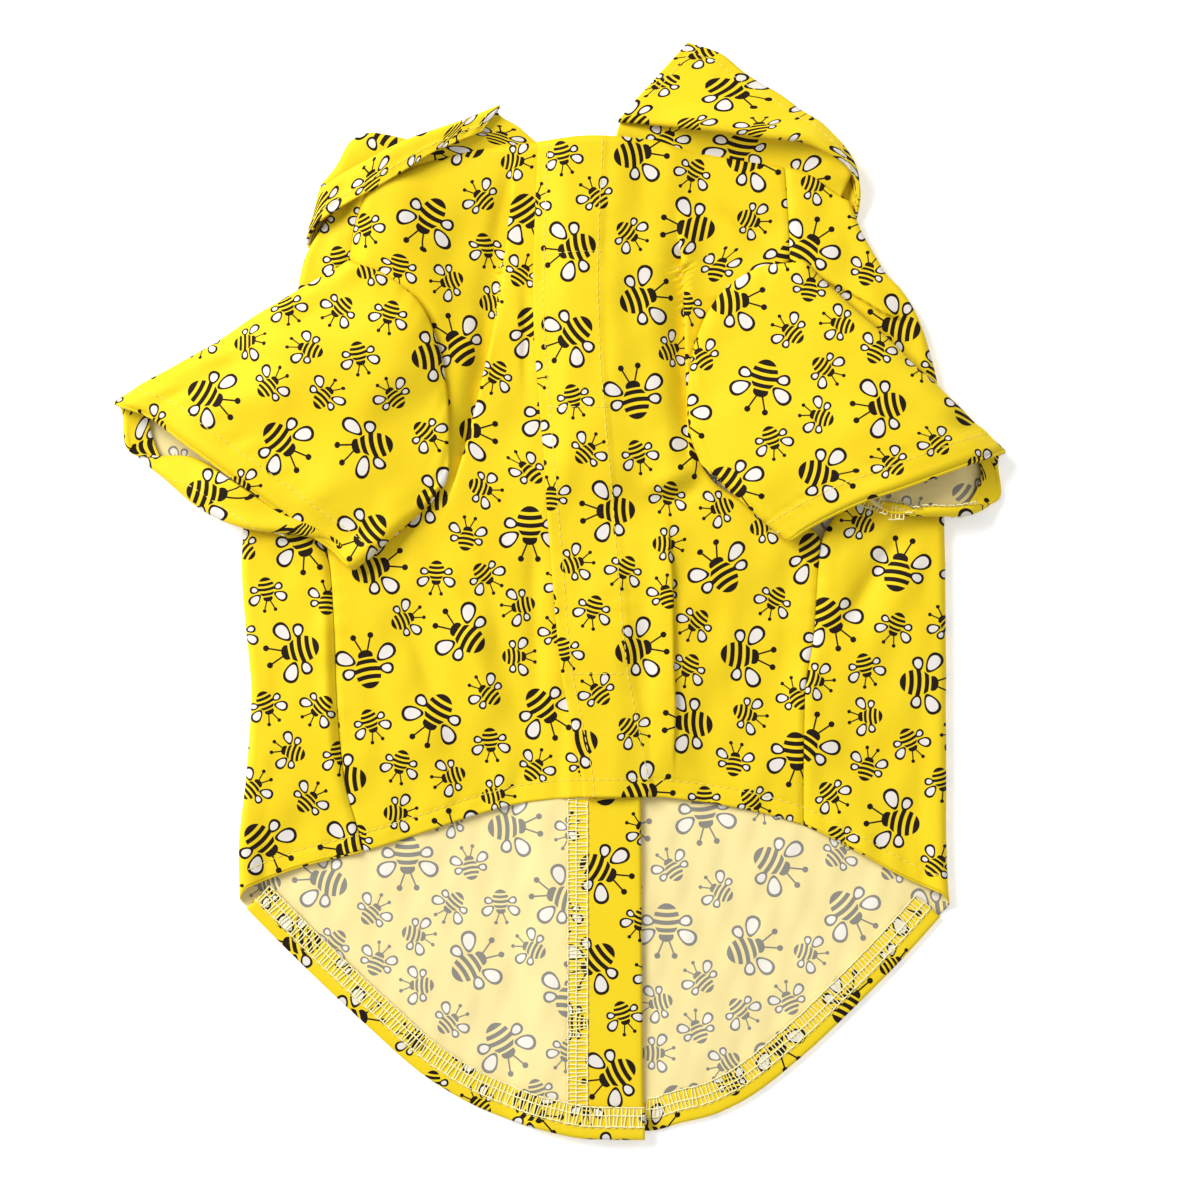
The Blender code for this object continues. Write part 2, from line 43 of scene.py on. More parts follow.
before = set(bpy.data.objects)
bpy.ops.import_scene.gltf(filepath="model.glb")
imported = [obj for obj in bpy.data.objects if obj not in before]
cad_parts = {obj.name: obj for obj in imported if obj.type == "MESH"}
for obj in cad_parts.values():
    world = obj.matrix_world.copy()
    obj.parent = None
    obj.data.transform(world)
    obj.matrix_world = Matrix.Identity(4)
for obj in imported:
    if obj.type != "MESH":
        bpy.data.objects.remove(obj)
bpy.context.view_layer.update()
MM = 0.001


def table(columns, rows):
    """Rows of numbers as named tuples; a last column that a row leaves out is None there."""
    row = namedtuple("Row", columns, defaults=(None,))
    return tuple(row(*values) for values in rows)


# --- Sizes shared with the solids ---
WALL = 1.0            # thickness of the solids' cloth wall
PITCH = 1.4           # height of one layer of cloth lying on another
TOP = 4.7             # middle of the cloth of the belly side above the table
OVERLAP_EDGE = 5.0    # edge of the right back panel, under the left one
FACING_EDGE = 1.3     # free edge of the strip turned in down the left back panel
RAMP = 12.0           # length over which a panel rises onto what it lies on
LIFT_AHEAD = 9.0      # a panel is fully raised this far before the edge that it lies over
UNDERLAP_EDGE = 12.0  # edge of the left belly panel, under the right one
PLACKET_NEAR = 1.5    # the right belly panel lies on the left one up to this far past its edge
PLACKET_FAR = 11.0    # and has come down to the left one's height this far past it
STACK_RISE = 2.3      # extra height of the belly side where the back's edges and the facing lie below it
STACK_UP, STACK_ACROSS = (20.0, 37.0), (-8.0, 2.0, 28.0, 40.0)   # where, up the body and across it
BACK_FOLD = 22.0, 26.0   # across the body, where the back's second layer ends under the belly side
FACING_ACROSS = FACING_EDGE - 3.0, FACING_EDGE + 1.0, 24.0, 27.0   # and where the turned-in strip lies
FOLDS_ACROSS = -62.0, -54.0, 56.0, 64.0   # and where the large folds run
FOLD_ENDS = 10.0      # a large fold fades out from this far beyond its ends
FOLD_WITHIN = 12.0    # to this far within them
CREASE_TAPER = 26.0   # most that a small fold takes to fade in from its end
HEM_DEPTH = 9.0       # depth of the tail's turned hem
HEM_CLEAR = 0.2       # extra height of the tail's turned hem
TAIL_SHORTER = 2.3    # by how much the tail's right half is shorter at the overlap
COLLAR_ROLL = 0.8     # radius of the fold that the collar turns over
NECK_TUCK = 1.6       # how far the collar's sewn edge goes in under the neckline
NECK_DROP = 1.0       # and how far below it, middle to middle
NECK_CLEAR_SIDE = 1.8  # how far it stands out past the neckline at the side folds
SLEEVE_EDGE = 2.0     # radius of a sleeve's folded edges
SLEEVE_CLEAR = 0.7    # space between a sleeve and the body under it
SLEEVE_SWELL = 1.2    # how far a sleeve's upper layer stands up in the middle
ARMHOLE_EDGE = 0.4    # radius of a sleeve's folded edges at the armhole
UNDERARM = 7          # row of a sleeve's table that is its underarm edge
CUFF_TURN = 1.35      # space from the cuff to its turned hem, middle to middle
CUFF_DEPTH = 8.0      # depth of the cuff's turned hem
PIVOT_NECK = 60.0     # above this level the rows lean toward the neckline
PIVOT_HEM = -40.0     # below this level the rows lean toward the hem
CORNER_NECK = 108.0   # level of the neck's corner at the side folds
CORNER_HEM = -86.0    # level of the hem at the side folds

# Down the body: the outermost folds, the back panels' edges on the belly side (side seam, back of the armhole
# and shoulder seam) and the belly panels' outer edges (side seam, front of the armhole and shoulder seam).
LEVELS = table("y fold_left wrap_left belly_left belly_right wrap_right fold_right", (
    (118, -56, -50, -50, 61.8, 61.8, 73),
    (110, -60.5, -55, -55, 62.4, 62.4, 79),
    (100, -68, -58.5, -58.5, 63, 63, 83),
    (92, -72.2, -59.8, -59.8, 63.2, 63.2, 87.6),
    (88, -73.2, -62, -52.5, 53.6, 66.4, 90),
    (84, -73.9, -64.6, -45.5, 47.8, 70, 94),
    (76, -75.6, -68, -37.6, 40, 76.6, 98.8),
    (64, -78.8, -71, -34.2, 36.4, 84, 102.8),
    (50, -83, -74, -32.7, 35.4, 88, 105.6),
    (38, -86, -75.5, -32.6, 37.2, 88, 106.7),
    (30, -87.8, -75, -33.6, 42, 84, 106.5),
    (24, -88.6, -73, -39, 52, 78.6, 106.4),
    (19, -89.1, -70.4, -52, 66, 74.6, 106.3),
    (14, -89.4, -68, -66, 71.6, 72.2, 106.3),
    (6, -89.7, -65.2, -65.2, 71.2, 71.2, 106.4),
    (-12, -88.4, -64, -64, 70, 70, 106.6),
    (-30, -87, -63.4, -63.4, 67.4, 67.4, 106.7),
    (-53, -88.6, -61.2, -61.2, 67.1, 67.1, 106.7),
    (-74, -90.6, -55.6, -55.6, 67.2, 67.2, 106.9),
    (-90, -90.2, -53, -53, 67.4, 67.4, 108),
))

# Across the body: the neckline and the hem, on the belly side and on the back
ACROSS = table("x neck_belly neck_back hem_belly hem_back", (
    (-91, 108, 108, -84, -86.5),
    (-74, 108, 108, -77.4, -103.6),
    (-56, 111.4, 105, -72.8, -120.6),
    (-38, 119, 97.6, -67, -136.2),
    (-23, 122.8, 91.4, -62, -144.8),
    (-7, 124.8, 87.2, -58.4, -150.4),
    (8, 126.4, 84.8, -57.4, -153.2),
    (24, 125.4, 84, -57.4, -153.4),
    (34, 122.6, 85, -58.2, -149.8),
    (50, 119.6, 89, -60.8, -142.8),
    (66, 117, 98, -65, -130.8),
    (82, 108, 108, -72.8, -115.8),
    (95, 108, 108, -80, -102.6),
    (109, 108, 108, -86, -87),
))

# The placket's fold, and the fold down the centre edge of the left back panel
CENTRE = table("y placket back_fold", (
    (127, -6.6, 20),
    (81, -8, 20),
    (39, -5.2, 20.4),
    (8, -2.9, 20.8),
    (-23, -0.1, 21.2),
    (-40, 3.2, 21.3),
    (-58, 6, 21.6),
    (-90, 6, 22.2),
    (-154, 6, 23.6),
))

# Large soft folds of the belly side: from one end to the other, how wide and how high (minus for a hollow)
FOLDS = table("x1 y1 x2 y2 width height", (
    (-50, 120, -48, 54, 18, 5.2),
    (-34, 40, -24, -20, 9, 1),
    (28, 24, 29, -50, 9, 1.2),
))

# Around the neck, from the belly closing to the centre back: x where the collar is sewn on, the fold it turns
# over and its free edge with their heights.  face is 1 on the belly side, 0 at the side fold and -1 on the back;
# stands is 1 where the leaf is turned up and only bulges over its seam, 0 where it is folded over.
COLLAR_COLUMNS = "sewn_x fold_x fold_y fold_z free_x free_y free_z face stands"
COLLAR_LEFT = table(COLLAR_COLUMNS, (
    (-5.8, -17.6, 134.6, 6.8, -22.6, 127.6, 7.6, 1, 0),
    (-14.6, -25.8, 131.4, 7.6, -29.6, 124.5, 8.8, 1, 0),
    (-23.6, -33.6, 128.4, 8.2, -36.6, 121.3, 9.8, 1, 0),
    (-33, -43, 124.9, 9.2, -44, 116.5, 10.6, 1, 0),
    (-42, -52, 120.4, 9.2, -53.2, 111, 10.6, 1, 0),
    (-50, -59.8, 116.4, 7.8, -62, 106.2, 9.6, 1, 0),
    (-56.5, -66.2, 112.2, 6.8, -68.8, 101.4, 7.2, 0.85, 0),
    (-61.6, -66.8, 112.6, 4.6, -71.2, 98.4, 4.4, 0.1, 0),
    (-59.4, -63.4, 118.2, 1.6, -70.2, 94, 0.6, -0.8, 0),
    (-56.8, -59.2, 125.4, 1.3, -66.6, 89.6, 0.5, -1, 0),
    (-54.4, -56.8, 126.9, 1.3, -62, 86, 0.5, -1, 0),
    (-45, -47, 126.7, 1.3, -49, 79, 0.5, -1, 0),
    (-33, -31, 119, 1.3, -37, 72, 0.5, -1, 0),
    (-18, -15, 110, 1.3, -22, 66, 0.5, -1, 0),
    (-4, -2, 103, 1.3, -9, 60, 0.5, -1, 0),
))
COLLAR_RIGHT = table(COLLAR_COLUMNS, (
    (14.5, 15.4, 130.6, 9, 34.6, 152.8, 3.4, 1, 1),
    (21, 23.4, 129.6, 10, 43.4, 149.8, 3.6, 1, 1),
    (31, 33, 128.6, 11.4, 50.6, 144, 4.2, 1, 1),
    (44, 45.4, 127.2, 12, 60.6, 137.8, 5, 1, 1),
    (54, 57.4, 125.6, 12, 66.6, 133.2, 5.8, 1, 1),
    (63, 67.6, 124.4, 11.2, 73.2, 128.6, 6.4, 1, 0.8),
    (71, 75.6, 120.4, 9.2, 81.6, 117.2, 7.4, 0.9, 0.4),
    (76.6, 80.8, 117.2, 5.4, 82.4, 109.6, 5, 0.1, 0),
    (75.2, 79.2, 121.2, 1.6, 80.6, 99, 0.6, -0.8, 0),
    (69, 71, 121, 1.3, 75, 85, 0.5, -1, 0),
    (58, 58, 117, 1.3, 64, 75, 0.5, -1, 0),
    (44, 43, 110, 1.3, 49, 68, 0.5, -1, 0),
    (31, 30, 104, 1.3, 37, 61, 0.5, -1, 0),
))

# Round a sleeve, from the top edge over the upper layer to the underarm edge and back under: the armhole, and
# the cuff's rim with its height
SLEEVE_COLUMNS = "ax ay cx cy cz"
SLEEVE_LEFT = table(SLEEVE_COLUMNS, (
    (-59.8, 91.8, -125.4, 52.4, 4.6),
    (-51, 87.6, -116, 48.4, 8.2),
    (-41.6, 80.6, -106, 41.2, 10.6),
    (-35.4, 68, -95, 33.2, 11.4),
    (-33, 54, -84, 25.2, 11.2),
    (-32.4, 41, -73, 17, 10),
    (-32.8, 32, -64, 10.6, 8.8),
    (-35.6, 25.4, -58.2, 5.4, 7.2),
    (-46, 21.4, -62.8, 12.4, 6.2),
    (-60, 18.4, -73, 15.2, 5.6),
    (-73, 25, -90, 17.6, 4.4),
    (-75, 42, -99.6, 22.6, 1.2),
    (-72.4, 60, -110.6, 30.4, 0.6),
    (-67, 80, -121.6, 39.6, 0.6),
))
SLEEVE_RIGHT = table(SLEEVE_COLUMNS, (
    (66, 92, 123.4, 38.6, 4.8),
    (54.6, 89.2, 115, 35.6, 12),
    (44, 81.6, 105, 32, 14.6),
    (38.6, 72, 94.6, 28.2, 14.8),
    (35.6, 58, 84.4, 24.8, 13.8),
    (35.6, 46, 75, 20.6, 11.6),
    (38.4, 36.4, 67, 16.2, 10),
    (43.2, 30, 62.4, 13.4, 7.6),
    (53, 24.6, 70.5, 22.6, 6.4),
    (68, 21.6, 81, 28.4, 6.1),
    (82, 27, 91.6, 21.4, 6.2),
    (88, 42, 104, 20.6, 5.4),
    (84.6, 60, 114, 21.8, 1.6),
    (74, 79, 121.4, 26, 0.8),
))


# Small folds: from one end to the other, how far the middle bows sideways, width, height and how far the crest
# leans over sideways; sideways is to -X for a fold drawn down the body.  other is the width on the other side,
# where it differs.
CREASE_COLUMNS = "x1 y1 x2 y2 bow width height lean other"
BELLY_CREASES = table(CREASE_COLUMNS, (
    # left panel
    (-14.6, 124, -34.6, 20, -3.2, 2.8, -4.2, -2.6, 0.8),
    (-10.4, 92, -9.4, 46, 0.3, 1.5, -1.1, 0, 2.2),
    (-56, 117, -30, 104, 0, 4, 0.7, 0),
    (-40, 100, -31, 62, 1.5, 3.4, 0.5, 0),
    (-47, 8, -26, -50, 2, 3.2, -1.3, 0, 5),
    (-37, 16, -18, -42, -2, 3, 0.9, 0),
    (-57, 0, -46, -58, 1, 4, -0.9, 0),
    (-24, 22, -9, -46, 1.5, 3, -0.8, 0),
    (-9, 34, -6, -50, 0.4, 2.4, -0.7, 0),
    # right panel
    (31, 108, 34.6, 32, 0.4, 3.4, -4.8, -3, 0.8),
    (40, 109, 62, 93.5, 0, 1.2, -1.5, 0.4, 3),
    (19, 28, 42, 38, 1.6, 2.6, 1.1, 0),
    (19, 23.5, 43, 32, 1.6, 2.2, -1.2, 0),
    (28.6, 28, 30.4, -56, 0.6, 16, 1.3, -1.6, 0.8),
    (61, 18, 60, -58, 0, 22, -1.2, 0, 5),
    (20, 14, 22, -52, -0.6, 2.6, -0.4, 0),
    (44, 8, 52, -52, -2, 5, 0.6, 0),
    (52, 6, 47, -40, 1, 3, -0.5, 0),
    (17, 112, 19, 60, 0.6, 3.4, -0.5, 0),
))

# The same for the back's cloth where it comes round onto the belly side
WRAP_CREASES = table(CREASE_COLUMNS, (
    (98, 24, 73, -17, -1.2, 3, -1.9, 0),
    (102, 16, 80, -24, -1, 4.2, 0.9, 0),
    (87, 19, 72, -6, 1, 4, 0.8, 0),
    (56, 95.5, 120, 62, -1.6, 0.9, 2.2, 2.2, 8),
    (64, 84, 122, 52, -1, 4, -0.9, 0, 2),
    (76, -28, 92, -70, 2, 5, -0.5, 0),
    (-90, 17, -66, 5, -1.5, 3, 1.3, 0, 6),
    (-66.4, 8, -63.4, -58, 0.4, 1.6, 0.2, 0, 1),
    (-65.5, 12, -61.5, -62, 0, 20, 0.9, 0, 1.5),
    (-88, -38, -74, -62, 0, 4.2, -0.4, 0),
))

# The same for the sleeves
SLEEVE_CREASES_LEFT = table(CREASE_COLUMNS, (
    (-118, 45, -70, 62, 2, 6, 0.9, 0),
    (-104, 34, -52, 50, -1.5, 7, -0.7, 0),
    (-84, 20, -46, 38, 1, 5, 0.6, 0),
))
SLEEVE_CREASES_RIGHT = table(CREASE_COLUMNS, (
    (112, 34, 66, 58, -2, 6, 0.8, 0),
    (96, 26, 52, 44, 1.5, 6.5, -0.7, 0),
    (80, 82, 60, 60, 1, 5, 0.5, 0),
))


def smooth(xs, ys, x):
    """Values at x of a curve through the points (xs, ys) that never overshoots them."""
    xs = np.asarray(xs, float)
    ys = np.asarray(ys, float)
    if xs[0] > xs[-1]:
        xs, ys = xs[::-1], ys[::-1]
    x = np.clip(x, xs[0], xs[-1])
    reach = np.diff(xs)
    slope = np.diff(ys) / reach
    tangent = np.zeros_like(ys)
    same = slope[:-1] * slope[1:] > 0
    mean = 2 * slope[:-1] * slope[1:] / np.where(same, slope[:-1] + slope[1:], 1.0)
    tangent[1:-1] = np.where(same, mean, 0.0)
    tangent[0], tangent[-1] = slope[0], slope[-1]
    i = np.clip(np.searchsorted(xs, x) - 1, 0, len(reach) - 1)
    t = (x - xs[i]) / reach[i]
    return (ys[i] * (1 + 2 * t) * (1 - t) ** 2 + tangent[i] * reach[i] * t * (1 - t) ** 2
            + ys[i + 1] * t * t * (3 - 2 * t) + tangent[i + 1] * reach[i] * t * t * (t - 1))


def column(rows, key, name, at):
    """The named column of a table, read at values of its key column."""
    return smooth([getattr(r, key) for r in rows], [getattr(r, name) for r in rows], at)


def ramp(a, b, x):
    """0 below a, 1 above b, and a soft ramp between them (a may be the larger)."""
    t = np.clip((np.asarray(x, float) - a) / (b - a), 0.0, 1.0)
    return t * t * (3 - 2 * t)


def plateau(out, start, end, beyond, x):
    """1 from start to end, with soft ramps down to 0 at out and at beyond."""
    return ramp(out, start, x) * ramp(beyond, end, x)


def bell(x, width):
    """1 where x is 0, falling off to both sides over about the width."""
    return np.exp(-(x / width) ** 2)


def unit(vectors):
    """The vectors at length 1."""
    return vectors / np.maximum(np.linalg.norm(vectors, axis=-1, keepdims=True), 1e-9)


def running(steps, axis=0):
    """Running totals of the steps along the axis, from 0."""
    return np.concatenate([np.zeros_like(np.take(steps, [0], axis)), np.cumsum(steps, axis)], axis)


def beside(line, x, y):
    """How far points lie along and beside a line, its length and its direction."""
    dx, dy = line.x2 - line.x1, line.y2 - line.y1
    length = math.hypot(dx, dy)
    along = ((x - line.x1) * dx + (y - line.y1) * dy) / length
    off = ((x - line.x1) * dy - (y - line.y1) * dx) / length
    return along, off, length, (dx / length, dy / length)


def level(name, y):
    """x of a named line of the body at the level y."""
    return column(LEVELS, "y", name, y)


def across(name, x):
    """y of the neckline or hem at x."""
    return column(ACROSS, "x", name, x)


def tail_hem(x, left):
    """y of the tail's hem at x; the right half is a little shorter where it runs in under the left one."""
    return across("hem_back", x) + (0.0 if left else TAIL_SHORTER * ramp(44.0, 25.0, x))


def lean(row, x, side, left=True):
    """y at x of the row that stands at the level `row` at the side fold; side is belly or back."""
    neck = (across("neck_" + side, x) - PIVOT_NECK) / (CORNER_NECK - PIVOT_NECK)
    end = tail_hem(x, left) if side == "back" else across("hem_belly", x)
    hem = (end - PIVOT_HEM) / (CORNER_HEM - PIVOT_HEM)
    above = PIVOT_NECK + (row - PIVOT_NECK) * neck
    below = PIVOT_HEM + (row - PIVOT_HEM) * hem
    return np.where(row > PIVOT_NECK, above, np.where(row < PIVOT_HEM, below, row + 0.0 * x))


def over_collar(x, y):
    """1 where the back lies over the collar, 0 where it lies on the table."""
    rows = COLLAR_LEFT[8:] + COLLAR_RIGHT[:8:-1]
    edge = np.interp(x, [r.free_x for r in rows], [r.free_y for r in rows])
    return ramp(-RAMP, 0.0, y - edge + LIFT_AHEAD)


def back_height(x, y, left):
    """Middle of the cloth of a back panel above the table."""
    layers = over_collar(x, y)
    if left:
        layers = layers + ramp(OVERLAP_EDGE - LIFT_AHEAD - RAMP, OVERLAP_EDGE - LIFT_AHEAD, x)
    return WALL / 2 + PITCH * layers


def fold_height(x, y):
    """Height that the large folds add to the belly side."""
    total = 0.0
    for f in FOLDS:
        along, off, length, _ = beside(f, x, y)
        ends = plateau(-FOLD_ENDS, FOLD_WITHIN, length - FOLD_WITHIN, length + FOLD_ENDS, along)
        total = total + f.height * ends * bell(off, f.width)
    return total


def wander(x, y, size, seed):
    """Soft irregular rise and fall, from about -1 to 1, over lengths near `size`."""
    k = 2 * math.pi / size
    return (0.5 * np.sin(k * (0.83 * x + 0.41 * y) + 1.3 + seed)
            + 0.35 * np.sin(k * (-0.47 * x + 0.94 * y) + 4.1 * seed)
            + 0.3 * np.sin(k * (1.35 * x - 0.72 * y) + 2.2 + 2.7 * seed))


def creased(x, y, creases):
    """What a table of small folds does to points: a rise, and the sideways lean of the crests."""
    rise, move_x, move_y = np.zeros_like(x), np.zeros_like(x), np.zeros_like(x)
    for c in creases:
        along, off, length, way = beside(c, x, y)
        share = np.clip(along / length, 0, 1)
        off = off - c.bow * 4 * share * (1 - share)
        taper = min(CREASE_TAPER, length * 0.45)
        ends = plateau(0.0, taper, length - taper, length, along)
        shape = ends * bell(off, np.where(off < 0, c.other or c.width, c.width))
        shape *= 1 + 0.25 * wander(x, y, 37.0, c.x1)
        rise += c.height * shape
        move_x += c.lean * shape * way[1]
        move_y -= c.lean * shape * way[0]
    return rise, move_x, move_y


# Soft rumples of each kind of piece: waves, each with height, length and seed
RUMPLES = {
    "belly": ((0.5, 46.0, 1.0), (0.3, 19.0, 5.0)),
    "facing": ((0.16, 31.0, 8.0),),
    "tail_hem": ((0.1, 21.0, 4.0),),
    "sleeve": ((0.4, 34.0, 7.0), (0.2, 17.0, 3.0)),
    "collar": ((0.16, 24.0, 9.0),),
}

# What each kind of stitch line does to the cloth: height of the ripples that it draws up on both sides, depth
# and width of the dent that it pulls in, how far the ripples reach and their spacing
Relief = namedtuple("Relief", "size dent width reach pitch", defaults=(0.0, 0.8, 3.6, 7.0))
RELIEFS = {
    "seam": Relief(0.16, 0.5, 0.9),
    "armhole": Relief(0.3, 0.5, 1.2, 5.0),
    "belly_hem": Relief(0.2, 0.14),
    "tail_hem": Relief(0.12, pitch=6.0),
    "cuff": Relief(0.22, 0.16, pitch=6.4),
    "collar": Relief(0.13, 0.12, 0.7),
    "placket": Relief(0.13),
    "placket_edge": Relief(0.08),
}


def rumpled(kind, x, y):
    """Height of the soft rumples of a kind of piece."""
    return sum(height * wander(x, y, size, seed) for height, size, seed in RUMPLES[kind])


def stitched(kind, distance, along):
    """Relief at a distance from a line of stitches: its ripples and its dent."""
    relief = RELIEFS[kind]
    phase = 2 * math.pi * along / relief.pitch + 1.7 * np.sin(along / 11.0) + 0.9 * np.sin(along / 5.3)
    strength = 0.6 + 0.4 * np.sin(along / 17.0 + 2.0)
    ripples = relief.size * strength * bell(distance, relief.reach) * np.sin(phase)
    return ripples - relief.dent * bell(distance, relief.width)


def belly_height(x, y):
    """Middle of the cloth of the belly side above the table, without the placket's second layer."""
    over_stack = ramp(*STACK_UP, y) * plateau(*STACK_ACROSS, x)
    return TOP + STACK_RISE * over_stack + np.maximum(fold_height(x, y), 0.0) * plateau(*FOLDS_ACROSS, x)


def under_belly(x, y):
    """What the belly side may sink to: just above the back, its overlap and the strip turned in on it."""
    on_facing = plateau(*FACING_ACROSS, x)
    return back_height(x, y, True) - PITCH * ramp(*BACK_FOLD, x) + PITCH * on_facing + BELLY_CLEAR


def outer_height(x, y, left):
    """Height of the middle of a belly panel's cloth; the right one lies on the left one at the placket."""
    over_left = 0.0 if left else ramp(UNDERLAP_EDGE + PLACKET_FAR, UNDERLAP_EDGE + PLACKET_NEAR, x)
    return belly_height(x, y) + PITCH * over_left


# --- Cloth pieces as grids of points, each with its place on the flat cloth ---
class Grid:
    """Rows of points of a cloth piece in mm (rows, columns, 3) and their places on the flat cloth (…, 2).
    From the column `cut` on, the faces read their places from `beyond`."""

    def __init__(self, points, flat, cut=None, beyond=None):
        self.points = points
        self.flat = flat
        self.cut = cut
        self.beyond = beyond

    def normals(self):
        """Unit normals of the grid's points."""
        return unit(np.cross(np.gradient(self.points, axis=1), np.gradient(self.points, axis=0)))


def kept_above(z, floor):
    """z where it is clear of the floor, and bending away from the floor where it would come near."""
    clear = (z - floor) / BENDS_AWAY
    return floor + BENDS_AWAY * np.where(clear > 1.0, clear, np.exp(np.minimum(clear, 1.0) - 1.0))


def path_length(points):
    """Distance along each row from its first point."""
    return running(np.linalg.norm(np.diff(points, axis=1), axis=2), 1)


def turned_under(grid, first_column=False):
    """The grid with a hem folded back under its last row, or under its first column."""
    p, f = grid.points, grid.flat
    if first_column:
        p, f = (a.transpose(1, 0, 2)[::-1] for a in (p, f))
    out, flat_out = unit(p[-1] - p[-3]), unit(f[-1] - f[-3])
    down = -unit(np.array((0.0, 0.0, 1.0)) - out * out[:, 2:])
    added, added_flat = [], []
    for a in np.linspace(0, math.pi, 5)[1:]:
        added.append(p[-1] + HEM_ROUND * (out * math.sin(a) + down * (1 - math.cos(a))))
        added_flat.append(f[-1] + flat_out * HEM_ROUND * a)
    for row in range(2, len(p)):
        back = np.linalg.norm(p[-1] - p[-row], axis=1)[:, None]
        added.append(p[-row] + down * 2 * HEM_ROUND)
        added_flat.append(f[-1] + flat_out * (HEM_ROUND * math.pi + back))
        if back.mean() > HEM_UNDER:
            break
    p, f = np.concatenate([p, added]), np.concatenate([f, added_flat])
    if first_column:
        p, f = (a[::-1].transpose(1, 0, 2) for a in (p, f))
    return Grid(p, f)


def spline(points, count, closed=False, knot=None):
    """The points (K, …) joined by a smooth curve and sampled at `count` places evenly spaced by length; with
    a knot, half of them before that point and half after it."""
    flat = points.reshape(len(points), -1)
    p = np.concatenate([flat[-2:], flat, flat[:3]] if closed else [flat[:1], flat, flat[-1:]])
    reach = np.maximum(np.linalg.norm(np.diff(p, axis=0), axis=1), 1e-6)
    if not closed:
        reach[0], reach[-1] = reach[1], reach[-2]
        p[0], p[-1] = 2 * p[1] - p[2], 2 * p[-2] - p[-3]
    first = 2 if closed else 1
    spans = len(points) if closed else len(points) - 1
    starts = np.concatenate([[0.0], np.cumsum(reach[first:first + spans])])
    at = np.linspace(0, starts[-1], count + 1)[:-1] if closed else np.linspace(0, starts[-1], count)
    if knot is not None:
        half = count // 2
        after = np.linspace(starts[knot], starts[-1], count - half + (1 if closed else 0))
        at = np.concatenate([np.linspace(0, starts[knot], half + 1)[:-1], after])[:count]
    i = np.clip(np.searchsorted(starts, at, side="right") - 1, 0, spans - 1)
    t = ((at - starts[i]) / reach[first + i])[:, None]
    k = first + i
    before, here, after = reach[k - 1][:, None], reach[k][:, None], reach[k + 1][:, None]
    m0 = ((p[k] - p[k - 1]) / before * here + (p[k + 1] - p[k]) / here * before) / (before + here) * here
    m1 = ((p[k + 1] - p[k]) / here * after + (p[k + 2] - p[k + 1]) / after * here) / (here + after) * here
    out = (p[k] * (1 + 2 * t) * (1 - t) ** 2 + m0 * t * (1 - t) ** 2
           + p[k + 1] * t * t * (3 - 2 * t) + m1 * t * t * (t - 1))
    return out.reshape((count,) + points.shape[1:])


SEAM_GAP = 0.05       # half the space between two panels at a seam
WELT_LEFT, WELT_RIGHT = 0.6, 0.3   # how high the back's cloth stands up along its seam with a belly panel,
WELT_OFF, WELT_WIDTH = 2.4, 2.6    # how far from the seam and how wide
BELLY_CLEAR, WRAP_CLEAR = 1.15, 1.1   # least height of the belly side over what lies below it
BENDS_AWAY = 0.8      # height above that from which it bends away
HEM_SINK = 1.9        # how far the belly side's hem comes down toward the back
HEM_SINKS_OVER = 26.0  # length over which it does
HEM_ROUND, HEM_UNDER = 0.38, 6.0   # radius of its fold, and how far it goes on underneath
HEM_STITCH = 4.5      # topstitching from the belly side's hem edge
EDGE_STITCH = 2.6     # topstitching from the placket's fold
PLACKET_STITCH = 18.0  # and its inner line of stitches
PLACKET_RISE = 0.35   # how much thicker the placket is between the two
TAIL_ROUND = 0.8      # radius of the fold of the tail's hem
TAIL_LEFT, TAIL_RIGHT = (22.7, -88.6), (18.0, 105.2)   # where its halves start and end along x
ROWS_DOWN = 176       # rows of points down a body panel
HEM_ROWS = 9          # the last of them, which the back's turned hem follows on the belly side
BELLY_COLUMNS = 116   # columns of a belly panel
TABLE_COLUMNS = 84    # columns of a back panel along the table,
SIDE_COLUMNS = 10     # round the side fold
WRAP_COLUMNS = 62     # and on the belly side
ROW_FIRST, ROW_LAST = 108.0, -85.7   # levels of the first and last row at the side folds
DENSE_NECK, DENSE_HEM = 0.95, 1.8    # how close the rows lie toward the neck and the hem, beside the middle


def spread(points):
    """Width of the cloth along each row, without what the row itself leans down the body."""
    return running(np.hypot(np.diff(points[..., 0], axis=1), np.diff(points[..., 2], axis=1)), 1)


def body_rows():
    """Row levels from the neck to the hem, closer together where the rows fan out at the tail."""
    fine = np.linspace(ROW_FIRST, ROW_LAST, 800)
    dense = np.where(fine < PIVOT_HEM, DENSE_HEM, np.where(fine > PIVOT_NECK, DENSE_NECK, 1.0))
    total = running((dense[1:] + dense[:-1]) / 2)
    return np.interp(np.linspace(0, total[-1], ROWS_DOWN), total, fine)[:, None]


